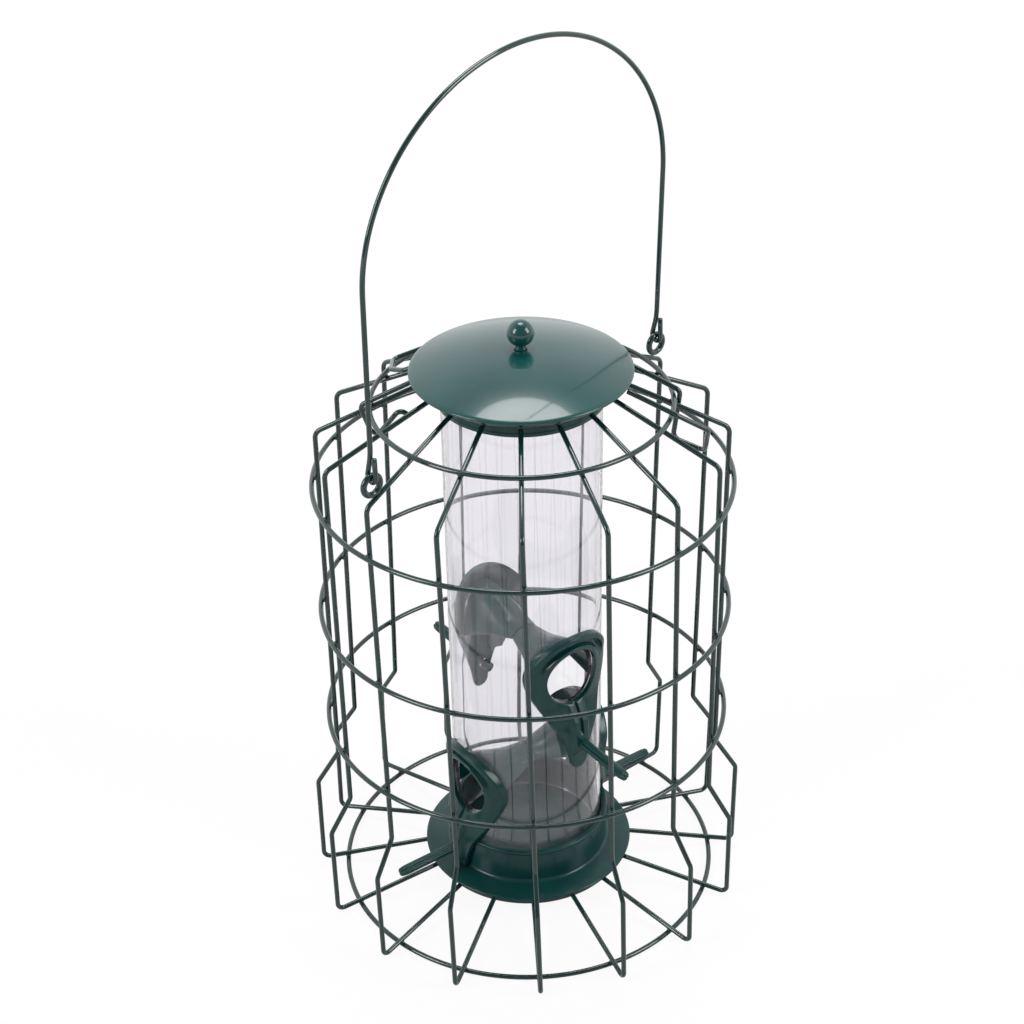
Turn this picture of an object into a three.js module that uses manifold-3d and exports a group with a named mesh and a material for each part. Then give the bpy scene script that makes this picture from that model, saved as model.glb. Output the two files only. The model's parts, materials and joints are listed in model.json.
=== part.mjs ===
import * as THREE from 'three';
import { mergeVertices } from 'three/addons/utils/BufferGeometryUtils.js';
import Module from 'manifold-3d';

// A caged tube bird feeder: a clear seed tube with four feeding ports stands in a round dish, and a
// cage of sixteen bent wires keeps squirrels off it. A domed lid closes the tube, two wire latches
// reach under the lid, and a wire bail hangs the feeder up.
// Millimetres, +Z up, origin on the ground under the tube's axis, front towards -Y.
// Azimuths are degrees round +Z, 0 at the front and 90 at +X.

const { sin, cos, tan, asin, sqrt, PI, hypot } = Math;
const radians = THREE.MathUtils.degToRad;
const halfTurn = 180;
const quarterTurn = 90;

// Clearance between pieces that touch
const seatGap = 0.3;
const cutOverrun = 4;

// Wire of the cage, the bail and the latches
const wireRadius = 1.1;
const wireSides = 6;
const wireCorner = wireRadius / cos(PI / wireSides);
const wireOnWire = 2 * wireRadius + seatGap;
const bendSteps = 3;
const cageBendSteps = 2;

// Seed tube
const tubeRadius = 34.3;
const tubeWall = 1.5;
const tubeFacets = 48;
const tubeHeightOverWires = 3.9;

// Base dish
const dishBrimWidth = 11.4;
const dishBrimWall = 1.4;
const dishBrimRise = 1;
const dishCollarGap = 0.7;
const dishCollarWall = 2.2;
const dishCollarHeight = 16.3;
const dishCollarLip = 0.8;
const dishFloorHeight = 3.4;
const dishFloorWall = 2.6;
const dishStepWidth = 8.3;
const dishStepHeight = 1.2;
const dishFacets = 32;

// Cage wires
const cageWires = 16;
const cageRadius = 87.9;
const shoulderHeight = 233.7;
const shoulderPitch = 26;
const shoulderBendRadius = 4.5;
const flareTopHeight = 64;
const flareWidth = 10.3;
const flareBottomHeight = 47.2;
const flareBendRadius = 4;
const footBendRadius = 3;
const spokePitch = 9.3;
const footTwistAngle = 2.6;
const cageTwistAngle = 3;

// Hoops and rings of the cage
const footWidth = 11.7;
const shoulderHoopShare = 0.521;
const middleHoopShares = [0.1626, 0.5003, 0.8692];
const crownRingWidth = 3.1;
const dishRingWidth = 4.1;
const hoopFacets = 32;

// Collar round the tube's top
const collarWall = 1.8;
const collarHeight = 11.4;
const collarBead = 0.5;
const collarBeadHeight = 1.6;
const collarFacets = 32;

// Lid
const lidOverhangWidth = 10.8;
const lidRimHeightOverTube = 1.4;
const lidRise = 9;
const lidWall = 1.1;
const lidRimRoll = 0.7;
const lidCurveSteps = 5;
const lidFacets = 32;
const lidPlugGap = 0.8;
const lidPlugWall = 1.6;
const lidPlugDepth = 12;
const knobRadius = 5.8;
const knobNeckRadius = 2.3;
const knobNeckHeight = 1.15;
const knobFootRadius = 2.9;
const knobFootHeight = 0.4;
const knobFacets = 16;

// Bail and its eyes
const bailAzimuth = -45.5;
const bailInsetWidth = 3.1;
const bailArchHeight = 77;
const bailArmHeight = 78.63;
const bailLeanShare = 0.02;
const bailHookRadius = 2.8;
const bailHookLength = 16;
const bailArchSteps = 24;
const bailHookSteps = 8;
const eyeRadius = 4.3;
const eyeInsetWidth = 3.7;
const eyeFacets = 16;

// Latches. Their legs lie these distances to one side of the feeder's middle, along +Y or -Y.
const latchTuckWidth = 3.8;
const tabBackLidOffset = 8.8;
const tabBackHoopOffset = 2.6;
const tabFrontLidOffset = 15.6;
const tabFrontHoopOffset = 18.8;
const tabFootOffset = 4;
const tabDropHeight = 21;
const tabLeanWidth = 2.6;
const tabReachWidth = 13.5;
const tabFootDropHeight = 24;
const tabHeelDropHeight = 7.4;
const tabBendRadius = 3.4;
const hookOffset = 5;
const hookLeanWidth = 1.1;
const hookFootWidth = 1.6;
const hookFootDropHeight = 15;
const hookCrestWidth = 12.9;
const hookCrestDropHeight = 1;
const hookEndWidth = 17.3;
const hookEndDropHeight = 4.4;
const thumbLinkOffset = 7.6;
const thumbWaistOffset = 9.6;
const thumbNearOffset = 17.4;
const thumbFarOffset = 32.6;
const thumbWaistWidth = 6.2;
const thumbWidth = 11.8;
const thumbEndWidth = 12.4;

// Feeding ports
const lowerPortHeightOverFloor = 43;
const portSpacingHeight = 67.3;
const upperPortAzimuth = 36;
const lowerPortAzimuth = -54;
const holeHalfWidth = 13.1;
const holeHalfHeight = 13.5;
const flangeTopHeight = 22.9;
const flangeHalfWidth = 21.6;
const flangeTailLength = 47.8;
const flangeTailRadius = 4.2;
const flangeWall = 2.2;
const tailWall = 2;
const flangeWidestShare = 0.14;
const hoodWall = 2.4;
const hoodDepth = 0.8;
const browWall = 2.2;
const browDepth = 0.9;
const browGrooveDepth = 1.2;
const ribHalfWidth = 3.4;
const ribDepth = 6;
const ribGrooveHalfWidth = 1.1;
const ribGrooveDepth = 1.4;
const perchDropHeight = 32.6;
const outlineSteps = 10;

// Perches
const perchTuckLength = 4.2;
const perchLength = 38.7;
const perchHalfHeight = 2.4;
const perchArmWidth = 1.15;
const perchTipShare = 0.62;
const perchTipLength = 3;
const perchFacets = 12;

// Baffles inside the tube
const baffleWall = 1.5;
const baffleLap = 1.2;
const bafflePitch = 38;
const baffleSteps = 8;
const baffleMeetingGap = 1.2;

const wireMetal = () => new THREE.MeshStandardMaterial({ color: 0x2c514a, roughness: 0.3, metalness: 0.35 });
const lidMetal = () => new THREE.MeshStandardMaterial({ color: 0x2a5f58, roughness: 0.22, metalness: 0.3 });
const greenPlastic = () => new THREE.MeshStandardMaterial({ color: 0x1f514b, roughness: 0.3, metalness: 0 });
const clearPlastic = () => new THREE.MeshStandardMaterial({
  color: 0xe9edec, roughness: 0.08, metalness: 0, transparent: true, opacity: 0.3 });

const wasm = await Module();
wasm.setup();

function toSolid(geometry) {
  const bare = geometry.clone();
  bare.deleteAttribute('normal');
  bare.deleteAttribute('uv');
  const merged = mergeVertices(bare);
  return new wasm.Manifold(new wasm.Mesh({
    numProp: 3,
    vertProperties: new Float32Array(merged.attributes.position.array),
    triVerts: new Uint32Array(merged.index.array),
  }));
}

function toGeometry(solid) {
  const mesh = solid.getMesh();
  const geometry = new THREE.BufferGeometry();
  geometry.setAttribute('position', new THREE.BufferAttribute(mesh.vertProperties, mesh.numProp));
  geometry.setIndex(new THREE.BufferAttribute(mesh.triVerts, 1));
  geometry.computeVertexNormals();
  return geometry;
}

// A group whose +X points outward at an azimuth
function facing(azimuth) {
  const group = new THREE.Group();
  group.rotation.z = radians(azimuth - quarterTurn);
  return group;
}

function piece(name, geometry, material) {
  const mesh = new THREE.Mesh(geometry, material);
  mesh.name = name;
  return mesh;
}

// A lathe turned about +Z from an outline of [radius, height] points
function turned(outline, facets, startDegrees = 0) {
  const points = outline.map(([r, z]) => new THREE.Vector2(r, z));
  return new THREE.LatheGeometry(points, facets, radians(startDegrees)).rotateX(radians(quarterTurn));
}

// A ring of wire round +Z. Its section has flats above and below, or inside and outside.
function hoop(radius, height, startDegrees, flatsUpright) {
  const outline = [];
  for (let i = 0; i <= wireSides; i++) {
    const angle = 2 * PI * (i % wireSides + (flatsUpright ? 1 / 2 : 0)) / wireSides;
    outline.push([radius + wireCorner * cos(angle), height + wireCorner * sin(angle)]);
  }
  return turned(outline, hoopFacets, startDegrees);
}

// A wire's axis through a list of stations, with one ring of the section at each station
class WirePath extends THREE.Curve {
  constructor(stations) {
    super();
    this.stations = stations;
  }
  getPointAt(u, target = new THREE.Vector3()) {
    const last = this.stations.length - 1;
    return target.copy(this.stations[Math.round(u * last)]);
  }
  getTangentAt(u, target = new THREE.Vector3()) {
    const last = this.stations.length - 1;
    const at = Math.round(u * last);
    const here = this.stations[at];
    const before = this.stations[Math.max(at - 1, 0)];
    const after = this.stations[Math.min(at + 1, last)];
    const arriving = here.clone().sub(before).normalize();
    const leaving = after.clone().sub(here).normalize();
    return target.copy(arriving).add(leaving).normalize();
  }
}

// Stations along straight runs between corners, with each inner corner rounded to its bend radius
function bentStations(corners, bends, steps = bendSteps) {
  const stations = [corners[0]];
  for (let i = 1; i < corners.length - 1; i++) {
    const corner = corners[i];
    const arriving = corner.clone().sub(corners[i - 1]).normalize();
    const leaving = corners[i + 1].clone().sub(corner).normalize();
    const angle = arriving.angleTo(leaving);
    const radius = bends[i - 1];
    const inward = leaving.clone().sub(arriving).normalize();
    const centre = corner.clone().addScaledVector(inward, radius / cos(angle / 2));
    const spoke = corner.clone().addScaledVector(arriving, -radius * tan(angle / 2)).sub(centre);
    const axle = arriving.clone().cross(leaving).normalize();
    for (let k = 0; k <= steps; k++) {
      stations.push(spoke.clone().applyAxisAngle(axle, angle * k / steps).add(centre));
    }
  }
  stations.push(corners[corners.length - 1]);
  return stations;
}

function wireSection() {
  const shape = new THREE.Shape();
  for (let i = 0; i < wireSides; i++) {
    const angle = 2 * PI * i / wireSides;
    const [x, y] = [wireCorner * cos(angle), wireCorner * sin(angle)];
    if (i === 0) shape.moveTo(x, y); else shape.lineTo(x, y);
  }
  return shape;
}

function wireAlong(stations) {
  return new THREE.ExtrudeGeometry(wireSection(), {
    steps: stations.length - 1, bevelEnabled: false, extrudePath: new WirePath(stations) });
}

// Radii from the tube outwards
const tubeBore = tubeRadius - tubeWall;
const collarRadius = tubeRadius + seatGap + collarWall;
const collarReach = collarRadius + seatGap + wireRadius;
const crownRingRadius = collarReach + crownRingWidth;
const lidRadius = collarRadius + lidOverhangWidth;
const lidPlugRadius = tubeBore - lidPlugGap;
const dishCollarRadius = tubeRadius + dishCollarGap + dishCollarWall;
const dishBrimRadius = dishCollarRadius + dishBrimWidth;
const dishRingRadius = dishBrimRadius - dishRingWidth;
const dishStepRadius = tubeRadius - dishStepWidth;
const perchOuter = tubeRadius + perchLength;

// Radii of the cage, and the reach of what stands on it
const flareRadius = cageRadius + flareWidth;
const baseHoopRadius = flareRadius - footWidth;
const shoulderHoopRadius = collarReach + (cageRadius - collarReach) * shoulderHoopShare;
const eyeReach = cageRadius - eyeInsetWidth;
const bailHalfSpan = cageRadius - bailInsetWidth;
const latchInnerReach = lidRadius - latchTuckWidth;

// Heights of a cage wire's axis on the sloping shoulder and on the spokes
const baseHoopHeight = wireRadius;
function shoulderAxis(radius) {
  return shoulderHeight + (cageRadius - radius) * tan(radians(shoulderPitch));
}
function spokeAxis(radius) {
  const onHoop = baseHoopHeight + wireOnWire / cos(radians(spokePitch));
  return onHoop + (baseHoopRadius - radius) * tan(radians(spokePitch));
}
function wireAzimuth(height) {
  return footTwistAngle - cageTwistAngle * height / shoulderHeight;
}

// Heights of the hoops that lie across the shoulder and under the spokes
const shoulderHoopHeight = shoulderAxis(shoulderHoopRadius) + wireOnWire / cos(radians(shoulderPitch));
const crownHeight = shoulderAxis(crownRingRadius) + wireOnWire / cos(radians(shoulderPitch));
const dishRingHeight = spokeAxis(dishRingRadius) - wireOnWire / cos(radians(spokePitch));

// Heights that follow from the cage: the tube's top and the lid from the shoulder, and the dish
// and the ports from the spokes
const tubeTop = shoulderAxis(collarReach) + tubeHeightOverWires;
const collarBottom = tubeTop - collarHeight;
const lidRimHeight = tubeTop + lidRimHeightOverTube;
const brimUnder = spokeAxis(dishBrimRadius) + (wireRadius + seatGap) / cos(radians(spokePitch));
const brimTop = brimUnder + dishBrimWall;
const dishFloorTop = brimUnder + dishFloorHeight;
const dishCollarTop = dishFloorTop + dishCollarHeight;
const lowerPortHeight = dishFloorTop + lowerPortHeightOverFloor;
const upperPortHeight = lowerPortHeight + portSpacingHeight;

// One cage wire: shoulder, upright, flare, foot and spoke, twisted slightly about the axis
function cageWire() {
  const corners = [
    [collarReach, shoulderAxis(collarReach)],
    [cageRadius, shoulderHeight],
    [cageRadius, flareTopHeight],
    [flareRadius, flareBottomHeight],
    [flareRadius, spokeAxis(flareRadius)],
    [dishRingRadius - wireOnWire, spokeAxis(dishRingRadius - wireOnWire)],
  ].map(([x, z]) => new THREE.Vector3(x, 0, z));
  const bends = [shoulderBendRadius, flareBendRadius, flareBendRadius, footBendRadius];
  const stations = bentStations(corners, bends, cageBendSteps);
  const up = new THREE.Vector3(0, 0, 1);
  stations.forEach((p) => p.applyAxisAngle(up, radians(wireAzimuth(p.z))));
  return wireAlong(stations);
}

function buildCage() {
  const cage = new THREE.Group();
  for (let i = 0; i < cageWires; i++) {
    const bay = facing(i * 2 * halfTurn / cageWires);
    bay.add(piece(`cage_wire_${String(i + 1).padStart(2, '0')}`, cageWire(), wireMetal()));
    cage.add(bay);
  }
  const outsideRadius = cageRadius + wireOnWire;
  const flat = (name, radius, height) => cage.add(piece(name,
    hoop(radius, height, wireAzimuth(height), false), wireMetal()));
  flat('crown_ring', crownRingRadius, crownHeight);
  flat('shoulder_hoop', shoulderHoopRadius, shoulderHoopHeight);
  middleHoopShares.forEach((share, i) => {
    const height = flareTopHeight + (shoulderHeight - flareTopHeight) * share;
    cage.add(piece(`middle_hoop_${i + 1}`,
      hoop(outsideRadius, height, wireAzimuth(height), true), wireMetal()));
  });
  flat('base_hoop', baseHoopRadius, baseHoopHeight);
  flat('dish_ring', dishRingRadius, dishRingHeight);
  return cage;
}

// The shoulder wires' axis at the eyes carries them, and the eyes' tops are the bail's hinge
const eyeCentreHeight = shoulderAxis(eyeReach) + (wireOnWire + eyeRadius) / cos(radians(shoulderPitch));
const hingeHeight = eyeCentreHeight + eyeRadius;
const bailArmTop = hingeHeight + bailArmHeight;

function bailEye() {
  const outline = [];
  for (let i = 0; i <= wireSides; i++) {
    const angle = 2 * PI * (i % wireSides + 1 / 2) / wireSides;
    outline.push(new THREE.Vector2(eyeRadius + wireCorner * cos(angle), wireCorner * sin(angle)));
  }
  return new THREE.LatheGeometry(outline, eyeFacets).translate(eyeReach, 0, 0);
}

// One end of the bail, from the tip of its return leg round the eye to the arm's foot.
// side is +1 at the end that the group's +X points to and -1 at the other.
function bailEnd(side) {
  const reach = (height) => side * eyeReach - bailLeanShare * (height - hingeHeight);
  const points = [
    new THREE.Vector3(side * eyeReach, wireRadius + wireOnWire / 2, hingeHeight + bailHookLength)];
  for (let i = 0; i <= bailHookSteps; i++) {
    const angle = PI * i / bailHookSteps;
    points.push(new THREE.Vector3(side * eyeReach,
      bailHookRadius * cos(angle), hingeHeight - bailHookRadius * sin(angle)));
  }
  const armFoot = hingeHeight + bailHookLength;
  points.push(new THREE.Vector3(reach(armFoot), 0, armFoot));
  return points;
}

// The bail: hooked ends, upright arms and a half-ellipse arch, leaning slightly to one side
function bailWire() {
  const stations = bailEnd(-1);
  for (let i = 0; i <= bailArchSteps; i++) {
    const angle = PI * i / bailArchSteps;
    const height = bailArmTop + bailArchHeight * sin(angle);
    const lean = bailLeanShare * (height - hingeHeight);
    stations.push(new THREE.Vector3(-bailHalfSpan * cos(angle) - lean, 0, height));
  }
  stations.push(...bailEnd(1).reverse());
  return wireAlong(stations).translate(0, 0, -hingeHeight);
}

function buildBail() {
  const group = facing(bailAzimuth);
  [['bail_eye_left', 0], ['bail_eye_right', halfTurn]].forEach(([name, turn]) => {
    const side = new THREE.Group();
    side.rotation.z = radians(turn);
    const eye = piece(name, bailEye(), wireMetal());
    eye.position.z = eyeCentreHeight;
    side.add(eye);
    group.add(side);
  });
  const bail = piece('bail', bailWire(), wireMetal());
  bail.position.z = hingeHeight;
  group.add(bail);
  return group;
}

// A latch wire wraps round the shoulder hoop at this distance from its axis
const latchWrap = 2 * wireCorner + seatGap;
const runSeat = (wireOnWire + latchWrap) / cos(radians(shoulderPitch));

// A place on a latch's run, which lies over the shoulder hoop and keeps to the shoulder's pitch
function onRun(x, y) {
  return new THREE.Vector3(x, y, shoulderAxis(hypot(x, y)) + runSeat);
}
function belowHoop(x, y, drop) {
  return new THREE.Vector3(x, y, shoulderHoopHeight - drop);
}
// Reach of a leg's outer bend, just outside the shoulder hoop
function pastHoop(side, lean) {
  const radius = shoulderHoopRadius + latchWrap + lean / 2;
  return sqrt(radius * radius - side * side);
}

// Finger tab: two legs over the shoulder hoop, joined outside it by a loop that hangs round a cage wire
function latchTab() {
  const back = pastHoop(tabBackHoopOffset, seatGap);
  const foot = shoulderHoopRadius + tabReachWidth;
  const corners = [
    onRun(latchInnerReach, tabBackLidOffset),
    onRun(back, tabBackHoopOffset),
    belowHoop(back - tabLeanWidth, tabBackHoopOffset, tabDropHeight),
    belowHoop(foot, -tabFootOffset, tabFootDropHeight),
    belowHoop(foot, tabBendRadius - tabFrontHoopOffset, tabHeelDropHeight),
    onRun(pastHoop(tabFrontHoopOffset, 0), -tabFrontHoopOffset),
    onRun(latchInnerReach, -tabFrontLidOffset),
  ];
  const bends = [latchWrap, tabBendRadius, tabBendRadius, tabBendRadius, latchWrap];
  return wireAlong(bentStations(corners, bends));
}

// Hook latch: a hook round the shoulder hoop, a leg to the lid and a wide thumb loop beside it
function latchHook() {
  const thumb = latchInnerReach + thumbWidth;
  const corners = [
    belowHoop(shoulderHoopRadius - hookEndWidth, -hookOffset, hookEndDropHeight),
    belowHoop(shoulderHoopRadius - hookCrestWidth, -hookOffset, hookCrestDropHeight),
    belowHoop(shoulderHoopRadius - hookFootWidth, -hookOffset, hookFootDropHeight),
    onRun(pastHoop(hookOffset, hookLeanWidth * 2), -hookOffset),
    onRun(latchInnerReach, -hookOffset),
    onRun(latchInnerReach, thumbLinkOffset),
    onRun(latchInnerReach + thumbWaistWidth, thumbWaistOffset),
    onRun(thumb, thumbNearOffset),
    onRun(thumb, thumbFarOffset),
    onRun(latchInnerReach - thumbEndWidth, thumbFarOffset),
  ];
  const tight = [latchWrap, latchWrap, latchWrap, latchWrap, latchWrap, latchWrap];
  return wireAlong(bentStations(corners, [...tight, tabBendRadius, tabBendRadius]));
}

function buildLatches() {
  const group = new THREE.Group();
  group.add(piece('latch_tab', latchTab(), wireMetal()));
  group.add(piece('latch_hook', mirrored(latchHook()), wireMetal()));
  return group;
}

// The same form with +X and -X exchanged, faces still pointing out
function mirrored(geometry) {
  const solid = toSolid(geometry);
  const mesh = solid.getMesh();
  const flipped = new THREE.BufferGeometry();
  const places = new Float32Array(mesh.vertProperties);
  for (let i = 0; i < places.length; i += 3) places[i] = -places[i];
  const corners = new Uint32Array(mesh.triVerts);
  for (let i = 0; i < corners.length; i += 3) {
    [corners[i], corners[i + 1]] = [corners[i + 1], corners[i]];
  }
  flipped.setAttribute('position', new THREE.BufferAttribute(places, 3));
  flipped.setIndex(new THREE.BufferAttribute(corners, 1));
  flipped.computeVertexNormals();
  return flipped;
}

// Height of the dome's outer surface
function domeHeight(radius) {
  const share = radius / lidRadius;
  return lidRimHeight + lidRise * (1 - share * share);
}

function buildLid() {
  const lid = new THREE.Group();
  const outer = [];
  const inner = [];
  const innerRadius = lidRadius - lidRimRoll * 2;
  for (let i = 0; i <= lidCurveSteps; i++) {
    const radius = innerRadius * i / lidCurveSteps;
    outer.push([radius, domeHeight(radius)]);
    inner.unshift([radius, domeHeight(radius) - lidWall]);
  }
  const rim = [
    [lidRadius, domeHeight(lidRadius)],
    [lidRadius, lidRimHeight - lidRimRoll],
    [lidRadius - lidRimRoll, lidRimHeight - lidRimRoll * 2],
    [innerRadius, lidRimHeight - lidRimRoll],
  ];
  const dome = [...inner.reverse(), ...[...rim].reverse(), ...outer.reverse()];
  lid.add(piece('lid_dome', turned(dome, lidFacets), lidMetal()));

  const plugTop = domeHeight(lidPlugRadius) - lidWall - seatGap;
  const plugInner = lidPlugRadius - lidPlugWall;
  const plug = [
    [plugInner, tubeTop - lidPlugDepth],
    [lidPlugRadius, tubeTop - lidPlugDepth],
    [lidPlugRadius, plugTop],
    [plugInner, plugTop],
    [plugInner, tubeTop - lidPlugDepth],
  ];
  lid.add(piece('lid_plug', turned(plug, collarFacets), greenPlastic()));

  const knobBase = domeHeight(0) + seatGap;
  const neckTop = knobBase + knobFootHeight + knobNeckHeight;
  const ballCentre = neckTop + knobRadius * cos(asin(knobNeckRadius / knobRadius));
  const knob = [[0, knobBase], [knobFootRadius, knobBase], [knobFootRadius, knobBase + knobFootHeight],
    [knobNeckRadius, knobBase + knobFootHeight]];
  const lowest = asin(knobNeckRadius / knobRadius);
  const ballSteps = knobFacets / 2;
  for (let i = 0; i <= ballSteps; i++) {
    const angle = PI - lowest - (PI - lowest) * i / ballSteps;
    knob.push([i === ballSteps ? 0 : knobRadius * sin(angle), ballCentre + knobRadius * cos(angle)]);
  }
  lid.add(piece('lid_knob', turned(knob, knobFacets), lidMetal()));
  return lid;
}

function buildCollar() {
  const inner = tubeRadius + seatGap;
  const bead = collarBottom + collarBeadHeight;
  const outline = [
    [inner, collarBottom],
    [collarRadius, collarBottom],
    [collarRadius, bead - collarBead],
    [collarRadius + collarBead / 2, bead],
    [collarRadius, bead + collarBead],
    [collarRadius, tubeTop],
    [inner, tubeTop],
    [inner, collarBottom],
  ];
  return piece('tube_collar', turned(outline, collarFacets), greenPlastic());
}

// The four ports: heights and azimuths, opposite pairs at two levels
const ports = [
  { name: 'upper_back', height: upperPortHeight, azimuth: upperPortAzimuth - halfTurn },
  { name: 'upper_front', height: upperPortHeight, azimuth: upperPortAzimuth },
  { name: 'lower_front', height: lowerPortHeight, azimuth: lowerPortAzimuth },
  { name: 'lower_back', height: lowerPortHeight, azimuth: lowerPortAzimuth + halfTurn },
];

// A flat shape in the port's own face plane, x sideways and y up, pushed outward along +X
function outward(shape, from, to) {
  const solid = new THREE.ExtrudeGeometry(shape, {
    depth: to - from, bevelEnabled: false, curveSegments: outlineSteps });
  solid.rotateX(radians(quarterTurn)).rotateZ(radians(quarterTurn)).translate(from, 0, 0);
  return toSolid(solid);
}

// A shape in the plane of the port's axis, x outward and y up, given a width sideways
function acrossPort(points, halfWidth) {
  const shape = new THREE.Shape(points.map(([x, y]) => new THREE.Vector2(x, y)));
  const solid = new THREE.ExtrudeGeometry(shape, { depth: 2 * halfWidth, bevelEnabled: false });
  return toSolid(solid.rotateX(radians(quarterTurn)).translate(0, halfWidth, 0));
}

function ellipse(halfWidth, halfHeight, centre = 0) {
  return new THREE.Shape().absellipse(0, centre, halfWidth, halfHeight, 0, 2 * PI, false, 0);
}

function cylinder(radius, bottom, top, facets = tubeFacets) {
  return toSolid(turned([[0, bottom], [radius, bottom], [radius, top], [0, top]], facets));
}

// The tube: an open cylinder with a hole for each port and a slot for each perch
function seedTube() {
  const bottom = dishFloorTop + seatGap;
  let tube = cylinder(tubeRadius, bottom, tubeTop)
    .subtract(cylinder(tubeBore, bottom - cutOverrun, tubeTop + cutOverrun));
  const perchRoom = perchHalfHeight + seatGap;
  for (const port of ports) {
    const hole = outward(ellipse(holeHalfWidth, holeHalfHeight), tubeBore / 2, tubeRadius + cutOverrun);
    const slot = acrossPort([
      [tubeBore / 2, -perchDropHeight - perchRoom], [tubeRadius + cutOverrun, -perchDropHeight - perchRoom],
      [tubeRadius + cutOverrun, -perchDropHeight + perchRoom], [tubeBore / 2, -perchDropHeight + perchRoom],
    ], perchRoom);
    const turn = port.azimuth - quarterTurn;
    const cuts = port.height === lowerPortHeight ? [hole] : [hole, slot];
    for (const cut of cuts) {
      tube = tube.subtract(cut.rotate([0, 0, turn]).translate([0, 0, port.height]));
    }
  }
  return toGeometry(tube);
}

// Teardrop outline of a port's flange: round over the hole, drawn in to a rounded tail
function flangeOutline() {
  const widest = flangeTopHeight * flangeWidestShare;
  const tailCentre = flangeTailRadius - flangeTailLength;
  const shape = new THREE.Shape();
  shape.moveTo(flangeHalfWidth, widest);
  shape.bezierCurveTo(flangeHalfWidth, widest - holeHalfHeight, flangeTailRadius * 2, tailCentre / 2,
    flangeTailRadius, tailCentre);
  shape.absarc(0, tailCentre, flangeTailRadius, 0, PI, true);
  shape.bezierCurveTo(-flangeTailRadius * 2, tailCentre / 2, -flangeHalfWidth, widest - holeHalfHeight,
    -flangeHalfWidth, widest);
  shape.absellipse(0, widest, flangeHalfWidth, flangeTopHeight - widest, PI, 0, true, 0);
  return shape;
}

// The upper half of a port out to its face, stepping out further (or in) above the flange's widest
// place
function steppedFace(face, step) {
  const widest = flangeTopHeight * flangeWidestShare;
  const top = flangeTopHeight + cutOverrun;
  return toSolid(turned([
    [0, widest], [face, widest], [face + step, flangeTopHeight / 2], [face + step, top], [0, top],
  ], tubeFacets));
}

// The space over the dish's collar, which the lower ports' tails step out round. The upper ports are
// the same moulding, so their tails stand off the tube.
const collarSeat = dishCollarRadius + dishCollarLip + seatGap;
function overDishCollar(radius, above) {
  return cylinder(radius, -flangeTailLength - cutOverrun * 2, dishCollarTop + above - lowerPortHeight);
}

// A port: the flange wraps the tube, with a hood and a brow over the hole, a groove between them and
// a grooved rib that runs down from the hole to the perch
function portShroud(isLower) {
  const inner = tubeRadius + seatGap;
  const face = inner + flangeWall;
  const top = flangeTopHeight + cutOverrun;
  const bottom = -flangeTailLength - cutOverrun;
  const outermost = face + cutOverrun;
  const outline = outward(flangeOutline(), tubeRadius / 2, outermost);
  let body = cylinder(face, bottom, top).add(overDishCollar(collarSeat + tailWall, tailWall));
  const widest = flangeTopHeight * flangeWidestShare;
  const inBrow = outward(
    ellipse(flangeHalfWidth - browWall, flangeTopHeight - widest - browWall, widest), 0, outermost);
  const inHood = outward(
    ellipse(holeHalfWidth + hoodWall, holeHalfHeight + hoodWall), 0, outermost);
  const groove = inBrow.subtract(inHood).intersect(cylinder(outermost, widest, top))
    .subtract(steppedFace(face, -browGrooveDepth));
  body = body.add(steppedFace(face, hoodDepth).intersect(inHood))
    .add(steppedFace(face, browDepth).subtract(inBrow))
    .intersect(outline).subtract(groove);
  const ribTop = -holeHalfHeight;
  const ribRoot = -perchDropHeight - perchHalfHeight - hoodWall;
  body = body.add(acrossPort([
    [inner, ribTop], [face, ribTop], [face + ribDepth, -perchDropHeight], [face + ribDepth, ribRoot],
    [face, ribRoot - ribDepth], [inner, ribRoot - ribDepth],
  ], ribHalfWidth)).subtract(overDishCollar(collarSeat, seatGap));
  body = body.subtract(acrossPort([
    [face - ribGrooveDepth, ribTop + cutOverrun], [face + ribDepth + cutOverrun, ribTop + cutOverrun],
    [face + ribDepth + cutOverrun, -perchDropHeight + perchHalfHeight * 2],
    [face + ribDepth - ribGrooveDepth, -perchDropHeight + perchHalfHeight * 2],
  ], ribGrooveHalfWidth));
  body = body.subtract(outward(ellipse(holeHalfWidth, holeHalfHeight), 0, outermost));
  body = body.subtract(cylinder(inner, bottom - cutOverrun, top + cutOverrun));
  const room = perchHalfHeight + seatGap;
  body = body.subtract(acrossPort([
    [0, -perchDropHeight - room], [face + ribDepth + cutOverrun, -perchDropHeight - room],
    [face + ribDepth + cutOverrun, -perchDropHeight + room], [0, -perchDropHeight + room],
  ], room));
  if (isLower) {
    const brim = brimTop + dishBrimRise + seatGap - lowerPortHeight;
    body = body.subtract(cylinder(dishBrimRadius, bottom - cutOverrun, brim));
  }
  return toGeometry(body);
}

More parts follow.
